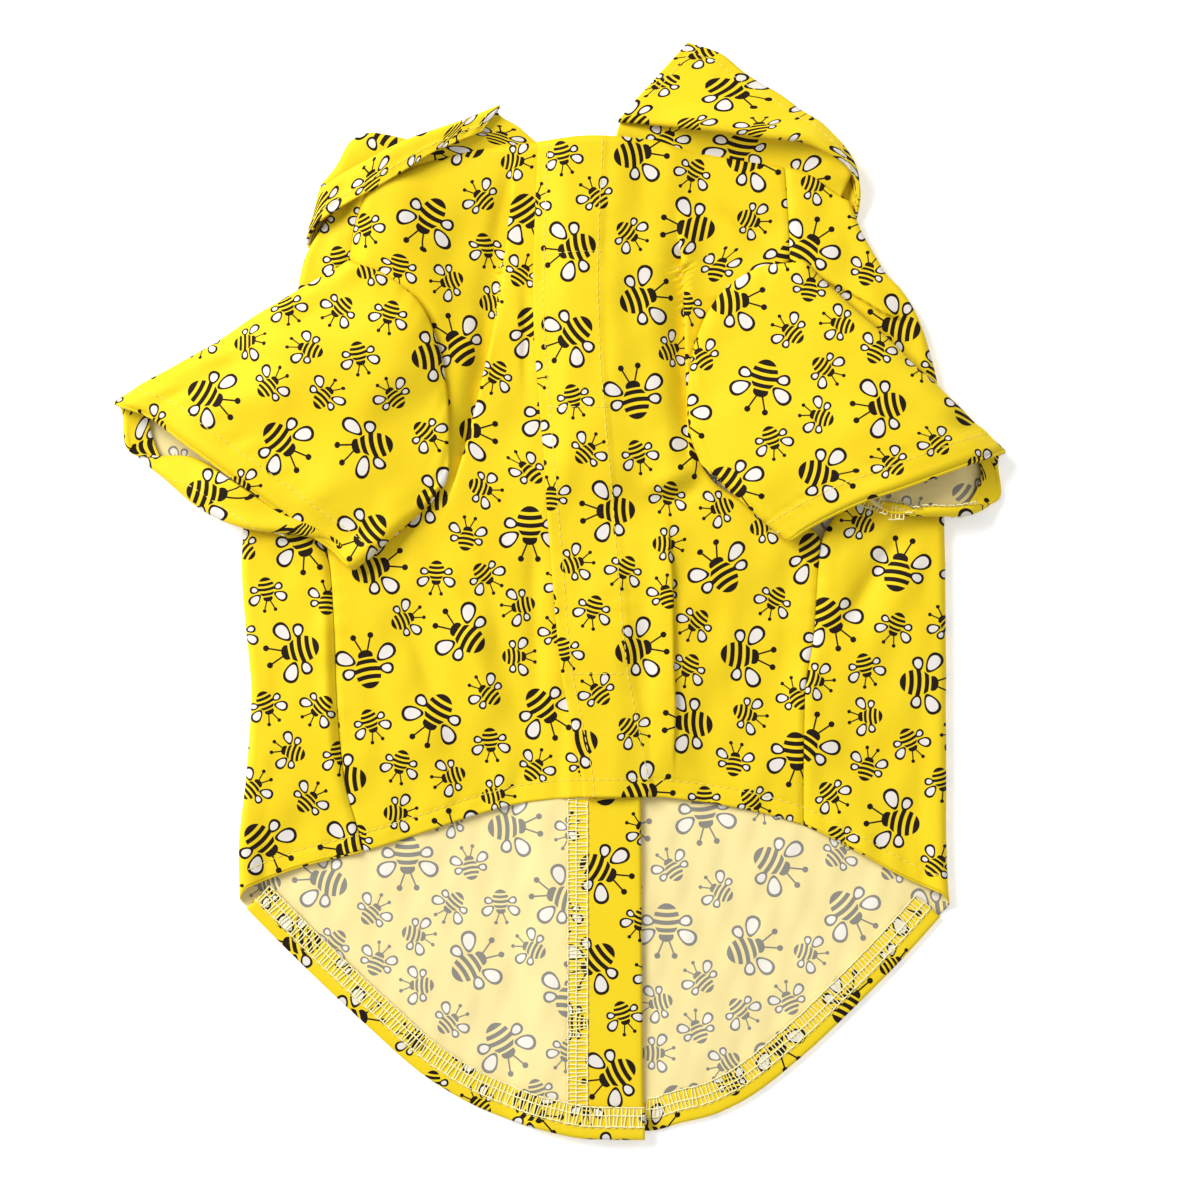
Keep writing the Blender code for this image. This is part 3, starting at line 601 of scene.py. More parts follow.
def belly_relief(x, y, seam, creases, left=True):
    """Rise and sideways move of the belly side's small folds, seams and puckers."""
    to_seam = np.abs(x - seam)
    rise, move_x, move_y = (part * ramp(0.0, 3.2, to_seam) for part in creased(x, y, creases))
    calm = 0.5 + 0.5 * ramp(118.0, 100.0, y)
    rise = rise + calm * (rumpled("belly", x, y) + 0.2 * wander(2.2 * x, 0.35 * y, 30.0, 2.6))
    rise = rise + stitched("seam", to_seam, y)
    from_hem = y - across("hem_belly", x)
    rise = rise - HEM_SINK * bell(from_hem, HEM_SINKS_OVER) + stitched("belly_hem", from_hem - HEM_STITCH, x)
    if not left:
        from_edge = x - column(CENTRE, "y", "placket", y)
        rise = rise + PLACKET_RISE * ramp(PLACKET_STITCH + 1.6, PLACKET_STITCH - 0.4, from_edge)
        rise = rise + stitched("placket", from_edge - PLACKET_STITCH, y)
        rise = rise + stitched("placket_edge", from_edge - EDGE_STITCH, y)
    return rise, move_x, move_y


def settled(rows, y, x_at):
    """x and y of points of the belly side, where x hangs on the level y and the rows lean with x."""
    for _ in range(8):
        x = x_at(y)
        y = y + 0.5 * (lean(rows, x, "belly") - y)
    return x, lean(rows, x, "belly")


def belly_grid(left):
    """A belly panel, from its outer edge to the closing; the right one lies over the left."""
    rows = body_rows()
    shares = np.linspace(0, 1, BELLY_COLUMNS)

    def x_at(y):
        if left:
            start, end = level("belly_left", y) + SEAM_GAP, UNDERLAP_EDGE
        else:
            start, end = column(CENTRE, "y", "placket", y), level("belly_right", y) - SEAM_GAP
        return start + (end - start) * shares
    x, y = settled(rows, rows + 0 * shares, x_at)
    seam = level("belly_left" if left else "belly_right", y)
    rise, move_x, move_y = belly_relief(x, y, seam, BELLY_CREASES, left)
    lying = kept_above(belly_height(x, y) + rise, under_belly(x, y))
    points = np.stack([x + move_x, y + move_y, lying + outer_height(x, y, left) - belly_height(x, y)], axis=2)
    flat = np.stack([x[:, :1] + spread(points), y], axis=2)
    grid = turned_under(Grid(points, flat))
    return [grid if left else turned_under(grid, first_column=True)]


def back_grid(left):
    """Half of the back: along the table, round the side fold and on to its seam on the belly side."""
    sign, side = (-1, "left") if left else (1, "right")
    rows = body_rows()
    fold = level("fold_" + side, rows)
    centre = column(CENTRE, "y", "back_fold", rows) - PITCH / 2 if left else np.full_like(rows, OVERLAP_EDGE)
    turn_x = fold - sign * (TOP - back_height(fold, rows, left)) / 2
    x = centre + (turn_x - centre) * np.linspace(0, 1, TABLE_COLUMNS)
    y = lean(rows, x, "back", left)
    lift = 0.3 * (1 + wander(x, y, 52.0, 3.0)) + 0.24 * (1 + wander(x * 1.8, y, 17.0, 2.0))
    lift = lift * ramp(0.0, 12.0, np.abs(x - turn_x)) * ramp(0.0, 9.0, y - tail_hem(x, left))
    if left:
        lift = lift * ramp(0.0, 10.0, centre - x)
    on_table = np.stack([x, y, back_height(x, y, left) + lift], axis=2)
    low_y, low_z = on_table[:, -1, 1:2], on_table[:, -1, 2:]
    high_y = lean(rows, turn_x, "belly")
    radius = (TOP - low_z) / 2
    turns = np.linspace(0, 1, SIDE_COLUMNS + 2)[1:-1]
    bulge = 1 + 0.042 * wander(rows, turn_x, 23.0, 6.0)
    round_side = np.stack([turn_x + sign * radius * np.sin(math.pi * turns) * bulge,
                           low_y + (high_y - low_y) * turns,
                           low_z + radius * (1 - np.cos(math.pi * turns))], axis=2)
    shares = np.linspace(0, 1, WRAP_COLUMNS)
    x, y = settled(rows, high_y + 0 * shares,
                   lambda y: turn_x + (level("wrap_" + side, y) + sign * SEAM_GAP - turn_x) * shares)
    seam = level("wrap_" + side, y)
    rise, move_x, move_y = belly_relief(x, y, seam, WRAP_CREASES)
    from_fold = ramp(0.0, 6.0, np.abs(x - turn_x))
    welt = (WELT_LEFT if left else WELT_RIGHT) * bell(np.abs(x - seam) - WELT_OFF, WELT_WIDTH)
    lying = kept_above(belly_height(x, y) + (rise + welt) * from_fold,
                       WALL / 2 + PITCH * over_collar(x, y) + WRAP_CLEAR)
    wrap = np.stack([x + move_x * from_fold, y + move_y * from_fold, lying], axis=2)
    points = np.concatenate([on_table, round_side, wrap], axis=1)
    flat = np.stack([spread(points) - 20 * sign, points[..., 1]], axis=2)
    # up the slanting shoulder the print can't run on round the side fold, so there it starts anew
    cut, middle = TABLE_COLUMNS + SIDE_COLUMNS // 2, ROWS_DOWN // 2
    beyond = flat.copy()
    beyond[..., 0] = flat[middle, cut, 0] + sign * (points[middle, cut, 0] - points[..., 0])
    part = np.s_[-HEM_ROWS:, cut - 1:]
    hem = turned_under(Grid(points[part], flat[part]))
    return [Grid(points, flat, cut, beyond), Grid(hem.points[HEM_ROWS - 1:], hem.flat[HEM_ROWS - 1:])]


def facing_grid():
    """The strip turned in down the centre edge of the left back panel, with the fold that it comes from."""
    rows = body_rows()
    fold = column(CENTRE, "y", "back_fold", rows)
    low = back_height(fold, rows, True)
    radius = PITCH / 2
    turns = math.pi * np.linspace(0, 1, 8)
    shares = np.linspace(0, 1, 18)[1:]
    x = fold - radius + np.concatenate([radius * np.sin(turns) + 0 * fold,
                                        (FACING_EDGE - fold + radius) * shares], axis=1)
    z = low + np.concatenate([radius * (1 - np.cos(turns)), PITCH + 0 * shares])
    z = z + rumpled("facing", x, rows + 0 * x) * ramp(0.0, 6.0, fold - x)
    y = lean(rows, x, "back")
    points = np.stack([x, y, z], axis=2)
    return [Grid(points, np.stack([40 + spread(points), y], axis=2))]


def tail_hem_grid(left):
    """The hem of half the tail with its fold, turned up onto the inside; the left one crosses the facing."""
    x = np.linspace(*(TAIL_LEFT if left else TAIL_RIGHT), 120)
    base = tail_hem(x, left)
    fall = (tail_hem(x + 2.0, left) - tail_hem(x - 2.0, left)) / 4.0
    fall = fall * (ramp(22.0, 14.0, x) if left else ramp(25.0, 40.0, x))
    inward = unit(np.stack([-fall, np.ones_like(fall)], axis=1))
    edge = np.stack([x, base], axis=1)
    low = back_height(x, base, left)

    def height(plan):
        x, y = plan.T
        tucked = 1.0 if left else 0.5 + 0.5 * ramp(24.0, 36.0, x)
        over_facing = PITCH * ramp(FACING_EDGE - 18.0, FACING_EDGE - 8.0, x) if left else 0.0
        return back_height(x, y, left) + (PITCH + HEM_CLEAR) * tucked + over_facing
    high = height(edge + inward * TAIL_ROUND)
    rows = []
    for turn in np.linspace(0, math.pi, 9):
        plan = edge + inward * TAIL_ROUND * (1 - math.sin(turn))
        rows.append(np.column_stack([plan, low + (high - low) * (1 - math.cos(turn)) / 2]))
    for share in np.linspace(0, 1, 9)[1:]:
        plan = edge + inward * (TAIL_ROUND + (HEM_DEPTH - TAIL_ROUND) * share)
        ripple = (stitched("tail_hem", 0.0, x) + rumpled("tail_hem", x, base)) * share
        rows.append(np.column_stack([plan, height(plan) + ripple]))
    points = np.array(rows).transpose(1, 0, 2)
    along = running(np.hypot(np.diff(x), np.diff(base)))
    return [Grid(points, np.stack([along[:, None] + 0 * points[..., 0], 60 + path_length(points)], axis=2))]


def below_sleeve(x, y):
    """Top of what a sleeve lies on: the body, and the table beyond its side fold."""
    left, right = level("fold_left", y), level("fold_right", y)
    inside = plateau(left - 16.0, left - 3.0, right + 3.0, right + 12.0, x)
    return (TOP + WALL / 2 + np.maximum(0.0, fold_height(x, y))) * inside


def folded_edge(at, inward, base, radius):
    """The three points of a sleeve's folded edge, low to high, each with the way inward."""
    edge = []
    for way in (-1, 0, 1):
        plan = at + inward * radius * 0.7 * abs(way)
        pull = (*inward, 0.0) if way == 0 else (*(inward * 0.4), -0.9 * way)
        edge.append(((*plan, base + radius * (1 + 0.9 * way)), pull))
    return edge


def sleeve_ring(rows, t):
    """One ring of a sleeve at t (0 at the armhole, 1 at the rim): its points, and the way inward at each."""
    plan = [np.array((r.ax + (r.cx - r.ax) * t, r.ay + (r.cy - r.ay) * t)) for r in rows]
    breadth = unit(plan[UNDERARM] - plan[0])
    radius = ARMHOLE_EDGE + (SLEEVE_EDGE - ARMHOLE_EDGE) * ramp(0.0, 0.6, t)
    cuff = ramp(0.35, 1.0, t)
    ring = []
    for i, (row, at) in enumerate(zip(rows, plan)):
        below = below_sleeve(*at)
        ground = below + WALL / 2 + SLEEVE_CLEAR * min(below, 1.0)
        if i in (0, UNDERARM):
            base = max(ground, ground + (row.cz - radius - ground) * cuff)
            edge = folded_edge(at, breadth if i == 0 else -breadth, base, radius)
            ring += edge if i == 0 else edge[::-1]
        elif i < UNDERARM:
            swell = math.sin(math.pi * i / UNDERARM) * ramp(0.0, 0.5, t)
            body = ground + 2 * radius + SLEEVE_SWELL * swell
            ring.append(((*at, body + (row.cz - body) * cuff), (0.0, 0.0, -1.0)))
        else:
            ring.append(((*at, max(ground, ground + (row.cz - ground) * cuff)), (0.0, 0.0, 1.0)))
    ring.append(ring.pop(0))   # so that it starts at the tip of the top edge
    return np.array([point for point, _ in ring], float), np.array([way for _, way in ring], float)


UNDERARM_POINT = 9    # where a ring's points reach the underarm edge
AROUND = 168          # columns of a sleeve's cloth; the top edge is the middle one
SLEEVE_ROWS = 61      # rows of a sleeve's cloth from the armhole to where the cuff starts to turn
UPPER_POINT = 30, 124  # row and column of a point of a sleeve's upper layer
ON_TABLE = 0.5        # lowest level of the middle of a sleeve's cloth
COLLAR_ON_TABLE = 0.65   # the same for the collar, which has stitches under it
# The lip that a sleeve's upper layer has over its seam: how far out past the seam, share of the way down
LIP = ((0.4, 0.08), (0.6, 0.22), (0.62, 0.42), (0.5, 0.7), (0.3, 1.0))
LIP_SUNK = 1.2        # how far the lip goes into the body's cloth
LIP_FROM = 4          # the sleeve's row that the lip's way out is taken from
CUFF_CURL = 2.1       # radius to which a cuff's rim curls up where it doesn't lie flat
CURL_RINGS = 12       # rings of a cuff up to its rim
CUFF_REACH = 0.955    # share of a sleeve's length where its cuff starts to turn
CUFF_TIP = 22         # columns at both sides of a sleeve's top edge where its hem is folded in on itself
CUFF_CORNER = 24      # the same at the left sleeve's underarm edge
# How much of the rim curls up and back at each point of a ring, from the top edge over the upper layer and back
CURL_LEFT = (0,) * 10 + (2, 3, 9, 15, 17, 14, 1.5, 0)
CURL_RIGHT = (0,) * 12 + (0, 3, 7, 7, 1, 0)


def cuff_rings(rim, behind, inward, curl):
    """Rings of a cuff from its rim on: curled up and back by the lengths `curl`, then the hem turned inside."""
    out, inward = unit(rim - behind), unit(inward)
    inward = inward - out * np.sum(inward * out, axis=1, keepdims=True)
    curl = np.array(curl, float)[:, None]
    radius = CUFF_TURN / 2
    start = rim - out * (radius + (CUFF_CURL - radius) * np.minimum(1.0, curl / (math.pi * CUFF_CURL / 2)))

    def at(s, offset):
        turn = np.clip(s / CUFF_CURL, 0.0, math.pi)
        straight = np.clip(s, None, 0.0) - np.clip(s - math.pi * CUFF_CURL, 0.0, None)
        inner = CUFF_CURL - offset
        return start + out * (inner * np.sin(turn) + straight) + inward * (CUFF_CURL - inner * np.cos(turn))
    rings = [at(curl * share, 0.0) for share in np.linspace(0.0, 1.0, CURL_RINGS)]
    edge = rings[-1]
    turn = np.clip(curl / CUFF_CURL, 0.0, math.pi)
    ahead = out * np.cos(turn) + inward * np.sin(turn)
    aside = inward * np.cos(turn) - out * np.sin(turn)
    rings += [edge + ahead * radius * math.sin(a) + aside * radius * (1 - math.cos(a))
              for a in np.linspace(0, math.pi, 8)[1:]]
    return rings + [at(curl - depth, CUFF_TURN) for depth in np.linspace(0.0, CUFF_DEPTH, 10)[1:]]


def armhole_lip(points, flat, upward):
    """Rows that carry a sleeve's upper layer over its seam and down into the body, from the lowest on."""
    edge = points[0]
    out = unit((edge - points[LIP_FROM]) * (1.0, 1.0, 0.0))
    body = below_sleeve(edge[:, 0], edge[:, 1]) - LIP_SUNK
    drop = np.maximum(edge[:, 2] - body, 0.0) * ramp(0.05, 0.6, upward)
    reach = np.minimum(1.0, drop / 2.0)
    lip = np.array([edge + out * (reach * along)[:, None] - np.outer(drop * down, (0.0, 0.0, 1.0))
                    for along, down in LIP])
    gone = np.cumsum(np.linalg.norm(np.diff([edge, *lip], axis=0), axis=2), axis=0)
    places = flat[0] + unit(flat[0] - flat[LIP_FROM]) * gone[..., None]
    return lip[::-1], places[::-1]


def sleeve_grid(rows, creases, curl):
    """A sleeve from its underarm seam all the way round, with the cuff's hem turned back inside."""
    def ring(points):
        rolled = np.roll(points, -UNDERARM_POINT, axis=0)
        fine = spline(rolled, AROUND, closed=True, knot=len(rolled) - UNDERARM_POINT)
        return np.concatenate([fine, fine[:1]])
    rings = [sleeve_ring(rows, t)[0] for t in np.linspace(0, CUFF_REACH, SLEEVE_ROWS)]
    rim, inward = sleeve_ring(rows, 1.0)
    points = np.array([ring(r) for r in rings + cuff_rings(rim, sleeve_ring(rows, 0.8)[0], inward, curl)])
    sleeve = points[:SLEEVE_ROWS]
    # the place on the flat cloth: along the top edge as it lies, and to both sides of it round the sleeve
    half = AROUND // 2
    top = sleeve[:, half, :2]
    fold_way = unit(top[-1] - top[0])
    step = np.diff(sleeve, axis=1)
    along = step[..., :2] @ fold_way
    aside = np.sqrt(np.maximum(np.sum(step * step, axis=2) - along * along, 0.0))
    total = running(np.stack([along, aside], axis=2), 1)
    total = total - total[:, half:half + 1]
    flat = top[:, None] + total[..., :1] * fold_way + total[..., 1:] * (-fold_way[1], fold_way[0])
    gone = np.cumsum(np.linalg.norm(np.diff(points[SLEEVE_ROWS - 1:], axis=0), axis=2), axis=0)
    flat = np.concatenate([flat, flat[-1] + unit(flat[-1] - flat[-5]) * gone[..., None]])
    normal = Grid(points, flat).normals()[:SLEEVE_ROWS]
    normal = normal * np.sign(normal[UPPER_POINT][2])
    from_armhole = running(np.linalg.norm(np.diff(sleeve, axis=0), axis=2))
    from_curl = from_armhole[-1] - from_armhole
    from_stitch = from_curl + CUFF_TURN - CUFF_DEPTH - 0.6
    around = path_length(sleeve)
    u, v = flat[:SLEEVE_ROWS, :, 0], flat[:SLEEVE_ROWS, :, 1]
    rise = creased(sleeve[..., 0], sleeve[..., 1], creases)[0] * np.clip(normal[..., 2], 0, 1)
    rise = rise + rumpled("sleeve", u, v)
    rise = rise + stitched("cuff", from_stitch, around) + stitched("armhole", from_armhole, around)
    sleeve += normal * (rise * ramp(0.0, 4.0, from_curl))[..., None]
    points[..., 2] = np.maximum(points[..., 2], ON_TABLE)
    lip, places = armhole_lip(points, flat, normal[0, :, 2])
    return [Grid(np.concatenate([lip, points]), np.concatenate([places, flat]))]


def neck_edge(x, face, left):
    """Point of the neckline at x; face runs from 1 on the belly side to -1 on the back."""
    part = (1 + face) / 2
    y = across("neck_back", x) + (across("neck_belly", x) - across("neck_back", x)) * part
    low, high = back_height(x, y, left), outer_height(x, y, left)
    y = y - NECK_TUCK * face * face + NECK_CLEAR_SIDE * (1 - face * face)
    return np.array((x, y, low + (high - low) * part - NECK_DROP * face), float)


# Where the collar's leaf stands up: its points off the fold, each away from the free edge and up, how far above
# the seam it starts and how far its middle bulges
STANDING = ((-2.8, -3.8), (-2.6, -1.8), (0.2, -0.7), (-0.5, 0.0), (-1.8, 0.1))
STANDS_FROM, LEAF_RISE = 0.6, 0.8


def collar_section(turn, left):
    """Nine points from the neck seam, up to the fold and on to the free edge."""
    sewn = neck_edge(turn.sewn_x, turn.face, left)
    fold = np.array((turn.fold_x, turn.fold_y, turn.fold_z), float)
    free = np.array((turn.free_x, turn.free_y, turn.free_z), float)
    turned = math.radians(90 * turn.face)
    out = np.array(((-1 if left else 1) * math.cos(turned), 0.0, math.sin(turned)))
    away = fold - free
    away = unit(away - out * (away @ out))
    r = COLLAR_ROLL
    bend = [fold - away * r + r * (away * math.sin(a) - out * math.cos(a)) for a in np.linspace(0, math.pi, 5)]
    rolled = [sewn, (sewn + bend[0]) / 2, *bend, (bend[-1] + free) / 2, free]
    up = np.array((0.0, 0.0, 1.0))
    near = (sewn + fold) / 2
    near[2] = sewn[2] + STANDS_FROM
    standing = [sewn, near, *(fold + away * a + up * u for a, u in STANDING),
                (fold + free) / 2 + up * LEAF_RISE, free]
    return np.array(rolled) * (1 - turn.stands) + np.array(standing) * turn.stands


COLLAR_ROWS, COLLAR_POINTS = 210, 48   # points of the collar round the neck, and from its seam to its free edge
COLLAR_STITCH = 3.0   # stitches from the collar's free edge


def collar_grid(turns, left):
    """Half of the collar: up from the neck seam, over its fold and down to the free edge, round the neck."""
    along = spline(np.array([collar_section(t, left) for t in turns]), COLLAR_ROWS)
    points = np.array([spline(section, COLLAR_POINTS) for section in along])
    length = running(np.linalg.norm(np.diff(points[:, COLLAR_POINTS // 2], axis=0), axis=1))
    u, v = length[:, None] + 0 * points[..., 0], path_length(points)
    rise = rumpled("collar", u, v) * ramp(0.0, 5.0, v) + stitched("collar", v[:, -1:] - v - COLLAR_STITCH, u)
    grid = Grid(points, np.stack([u, v], axis=2))
    points += grid.normals() * rise[..., None]
    points[..., 2] = np.maximum(points[..., 2], COLLAR_ON_TABLE)
    return [grid]


# --- The cloth pieces, each lying on its node of the frame ---
# facing is (row, column, sign): there the printed side points up (1) or down (-1).  shift is the piece's place on
# the print's repeat.  cut is the width and length in metres and the area in square metres that it was cut to.
Cloth = namedtuple("Cloth", "grids facing shift held rests_on cut double", defaults=(False,))
CLOTHS = {
    "back_right": Cloth(lambda: back_grid(False), (60, 20, -1), (20, 31), "laid", (), (0.147, 0.268, 0.0289)),
    "back_left": Cloth(lambda: back_grid(True), (60, 20, -1), (77, 12), "laid", ("back_right",),
                       (0.150, 0.265, 0.0284)),
    "facing_left": Cloth(facing_grid, (60, -3, 1), (5, 90), "folded", ("back_left",), (0.022, 0.238, 0.0052)),
    "tail_hem_left": Cloth(lambda: tail_hem_grid(True), (60, -2, 1), (51, 66), "folded",
                           ("back_left", "facing_left"), (0.134, 0.012, 0.0015)),
    "tail_hem_right": Cloth(lambda: tail_hem_grid(False), (60, -2, 1), (111, 5), "folded", ("back_right",),
                            (0.109, 0.011, 0.00117)),
    "belly_left": Cloth(lambda: belly_grid(True), (60, 20, 1), (33, 58), "laid",
                        ("back_left", "back_right"), (0.082, 0.211, 0.0129)),
    "belly_right": Cloth(lambda: belly_grid(False), (60, 20, 1), (96, 121), "laid",
                         ("back_right", "belly_left"), (0.085, 0.205, 0.0136)),
    "sleeve_left": Cloth(lambda: sleeve_grid(SLEEVE_LEFT, SLEEVE_CREASES_LEFT, CURL_LEFT),
                         (*UPPER_POINT, 1), (14, 40), "laid", ("back_left", "belly_left"),
                         (0.157, 0.091, 0.0099)),
    "sleeve_right": Cloth(lambda: sleeve_grid(SLEEVE_RIGHT, SLEEVE_CREASES_RIGHT, CURL_RIGHT),
                          (*UPPER_POINT, 1), (85, 101), "laid", ("back_right", "belly_right"),
                          (0.134, 0.086, 0.0077)),
    "collar_left": Cloth(lambda: collar_grid(COLLAR_LEFT, True), (60, -4, 1), (62, 17), "folded",
                         ("back_left", "belly_left"), (0.138, 0.077, 0.0056), True),
    "collar_right": Cloth(lambda: collar_grid(COLLAR_RIGHT, False), (60, -4, 1), (130, 70), "folded",
                          ("back_right", "belly_right"), (0.127, 0.070, 0.0054), True),
}


@functools.cache
def cloth_grids(node):
    """The grids of a cloth piece, worked out once."""
    return CLOTHS[node].grids()


def printed_way(node):
    """1 where the normals of a piece's grids point out of its printed side, -1 where out of the other."""
    row, col, sign = CLOTHS[node].facing
    return sign if cloth_grids(node)[0].normals()[row, col, 2] > 0 else -sign


def thickness(node):
    """Thickness of a piece's cloth in mm."""
    cloth = bpy.context.scene.shirt_cloth
    return (cloth.collar_thickness if CLOTHS[node].double else cloth.thickness) / MM


# --- Where the stitches run: lines of points on the cloth, each with the way out of the cloth ---
TOP_LIFT = 0.04       # middle of a stitch above the cloth's face
OVERLOCK_WIDTH = 5.4  # width of an overlocked edge
CUFF_STITCH = 7.0     # from the cuff's rim
TAIL_STITCH = 5.9     # from the free edge of the tail's hem
PLACKET_BARS = (93.0, 50.4, -23.5)   # levels of the stitches across the placket
BAR_POINTS = 12       # points of each of those


def rows_from(points, edge, distance):
    """For each column, the row at a distance along the cloth from the row `edge`; minus runs to later rows."""
    total = running(np.linalg.norm(np.diff(points, axis=0), axis=2))
    target = total[edge] - distance
    return np.array([np.interp(t, total[:, k], np.arange(len(points))) for k, t in enumerate(target)])


def columns_from(points, edge, distance):
    """The same for each row, from the column `edge`."""
    return rows_from(points.transpose(1, 0, 2), edge, distance)


def on_cloth(node, rows, cols):
    """A line of points and normals on a piece's printed side, at fractional rows and columns of its grid."""
    grid = cloth_grids(node)[0]
    rows, cols = np.broadcast_arrays(np.asarray(rows, float), np.asarray(cols, float))
    r = np.clip(rows.astype(int), 0, grid.points.shape[0] - 2)
    c = np.clip(cols.astype(int), 0, grid.points.shape[1] - 2)
    u, v = (rows - r)[:, None], (cols - c)[:, None]

    def read(values):
        return ((values[r, c] * (1 - v) + values[r, c + 1] * v) * (1 - u)
                + (values[r + 1, c] * (1 - v) + values[r + 1, c + 1] * v) * u)
    normal = unit(read(printed_way(node) * grid.normals()))
    return read(grid.points) + normal * (thickness(node) / 2 + TOP_LIFT), normal


def belly_lines(node):
    """Topstitching of a belly panel: its hem, and on the right one the placket's."""
    points = cloth_grids(node)[0].points
    cols = np.arange(points.shape[1])
    hem = rows_from(points[:ROWS_DOWN], ROWS_DOWN - 1, HEM_STITCH)
    if node == "belly_left":
        clear = points[ROWS_DOWN - 1, :, 0] < column(CENTRE, "y", "placket", -57.0) - 2.0
        return [on_cloth(node, hem[clear], cols[clear])]
    fold = points.shape[1] - BELLY_COLUMNS
    rows = np.arange(1, ROWS_DOWN - 1)
    outer, inner = (columns_from(points, fold, -stitch) for stitch in (EDGE_STITCH, PLACKET_STITCH))
    lines = [on_cloth(node, hem[fold:], cols[fold:]), on_cloth(node, rows, outer[rows]),
             on_cloth(node, rows, inner[rows])]
    levels = points[:ROWS_DOWN, int(round(outer.mean())), 1]
    for bar in PLACKET_BARS:
        row = int(np.argmin(np.abs(levels - bar)))
        lines.append(on_cloth(node, row, np.linspace(outer[row], inner[row], BAR_POINTS)))
    return lines


def back_lines(node):
    """Topstitching of a back panel's hem, on the belly side and, under the tail, on the outside."""
    points = cloth_grids(node)[0].points
    wrap = np.arange(TABLE_COLUMNS + SIDE_COLUMNS + 2, points.shape[1] - 1)
    tail = np.arange(2, TABLE_COLUMNS - 4)
    hem = rows_from(points, ROWS_DOWN - 1, HEM_STITCH)
    under = rows_from(points, ROWS_DOWN - 1, HEM_DEPTH - TAIL_STITCH + TAIL_ROUND)
    return [on_cloth(node, hem[wrap], wrap), on_cloth(node, under[tail], tail)]


def tail_lines(node):
    """Topstitching of half the tail's hem, on the inside."""
    points = cloth_grids(node)[0].points
    rows = np.arange(2, len(points) - 2)
    return [on_cloth(node, rows, columns_from(points, points.shape[1] - 1, TAIL_STITCH)[rows])]


def cuff_lines(node):
    """Topstitching round a cuff."""
    rim = len(LIP) + SLEEVE_ROWS + CURL_RINGS - 1
    rows = rows_from(cloth_grids(node)[0].points[:rim + 1], rim, CUFF_STITCH)
    return [on_cloth(node, rows, np.arange(AROUND + 1))]


def collar_lines(node):
    """Topstitching along the free edge of the collar and up its end."""
    points = cloth_grids(node)[0].points
    rows = np.arange(2, len(points) - 2)
    edge = columns_from(points, COLLAR_POINTS - 1, COLLAR_STITCH)
    cols = np.arange(COLLAR_POINTS // 2 + 3, int(edge[3]))
    return [on_cloth(node, rows, edge[rows]), on_cloth(node, rows_from(points, 0, -COLLAR_STITCH)[cols], cols)]


def overlock_lines(node):
    """The middle of the overlocking on the free edge of a facing or hem, which is its last column or row."""
    points = cloth_grids(node)[0].points
    middle = OVERLOCK_WIDTH / 2
    if not node.startswith("sleeve"):
        rows = np.arange(1, len(points) - 1)
        return [on_cloth(node, rows, columns_from(points, points.shape[1] - 1, middle)[rows])]
    rows = rows_from(points, len(points) - 1, middle)
    first = CUFF_CORNER if node == "sleeve_left" else 0
    parts = np.arange(first, AROUND // 2 - CUFF_TIP), np.arange(AROUND // 2 + CUFF_TIP, AROUND + 1 - first)
    return [on_cloth(node, rows[part], part) for part in parts]


# --- The print: bees of two sizes, spaced by a push-apart rule on a repeat ---
REPEAT = 138.0        # side of the print's square repeat
BEE_REACH = 10.4      # from the middle of a bee of size 1 to its farthest point
LARGE_BEES, SMALL_BEES = 24, 52
LARGE_BEE, SMALL_BEE = 0.84, 0.53
LARGE_APART = 25.5    # least distance between large bees
BEE_CLEAR = 1.9       # half the space kept between bees, as far as there is room
BEE_LINE = 0.31       # half width of the drawn line on a bee of size 1,
LINE_POWER = 0.45     # and how much more of a smaller bee it takes up
PRINT_SEED = 11
AT_ONCE = 4000        # faces that look for their bee at a time, to keep the memory low


def bee_layout():
    """Middle, turn and size of each bee of one repeat."""
    rng = np.random.default_rng(PRINT_SEED)
    size = np.array([LARGE_BEE] * LARGE_BEES + [SMALL_BEE] * SMALL_BEES)
    middle = rng.uniform(0, REPEAT, (len(size), 2))
    turn = rng.uniform(0, 2 * math.pi, len(size))
    radius = BEE_REACH * size + BEE_CLEAR
    want = radius[:, None] + radius[None]
    want[:LARGE_BEES, :LARGE_BEES] = LARGE_APART
    for _ in range(900):
        apart = middle[:, None] - middle[None]
        apart -= REPEAT * np.round(apart / REPEAT)
        distance = np.linalg.norm(apart, axis=2) + 1e-6
        push = np.clip(want - distance, 0, None)
        np.fill_diagonal(push, 0)
        middle = (middle + 0.3 * np.sum(apart / distance[..., None] * push[..., None], axis=1)) % REPEAT
    return middle, turn, size


BEES = bee_layout()


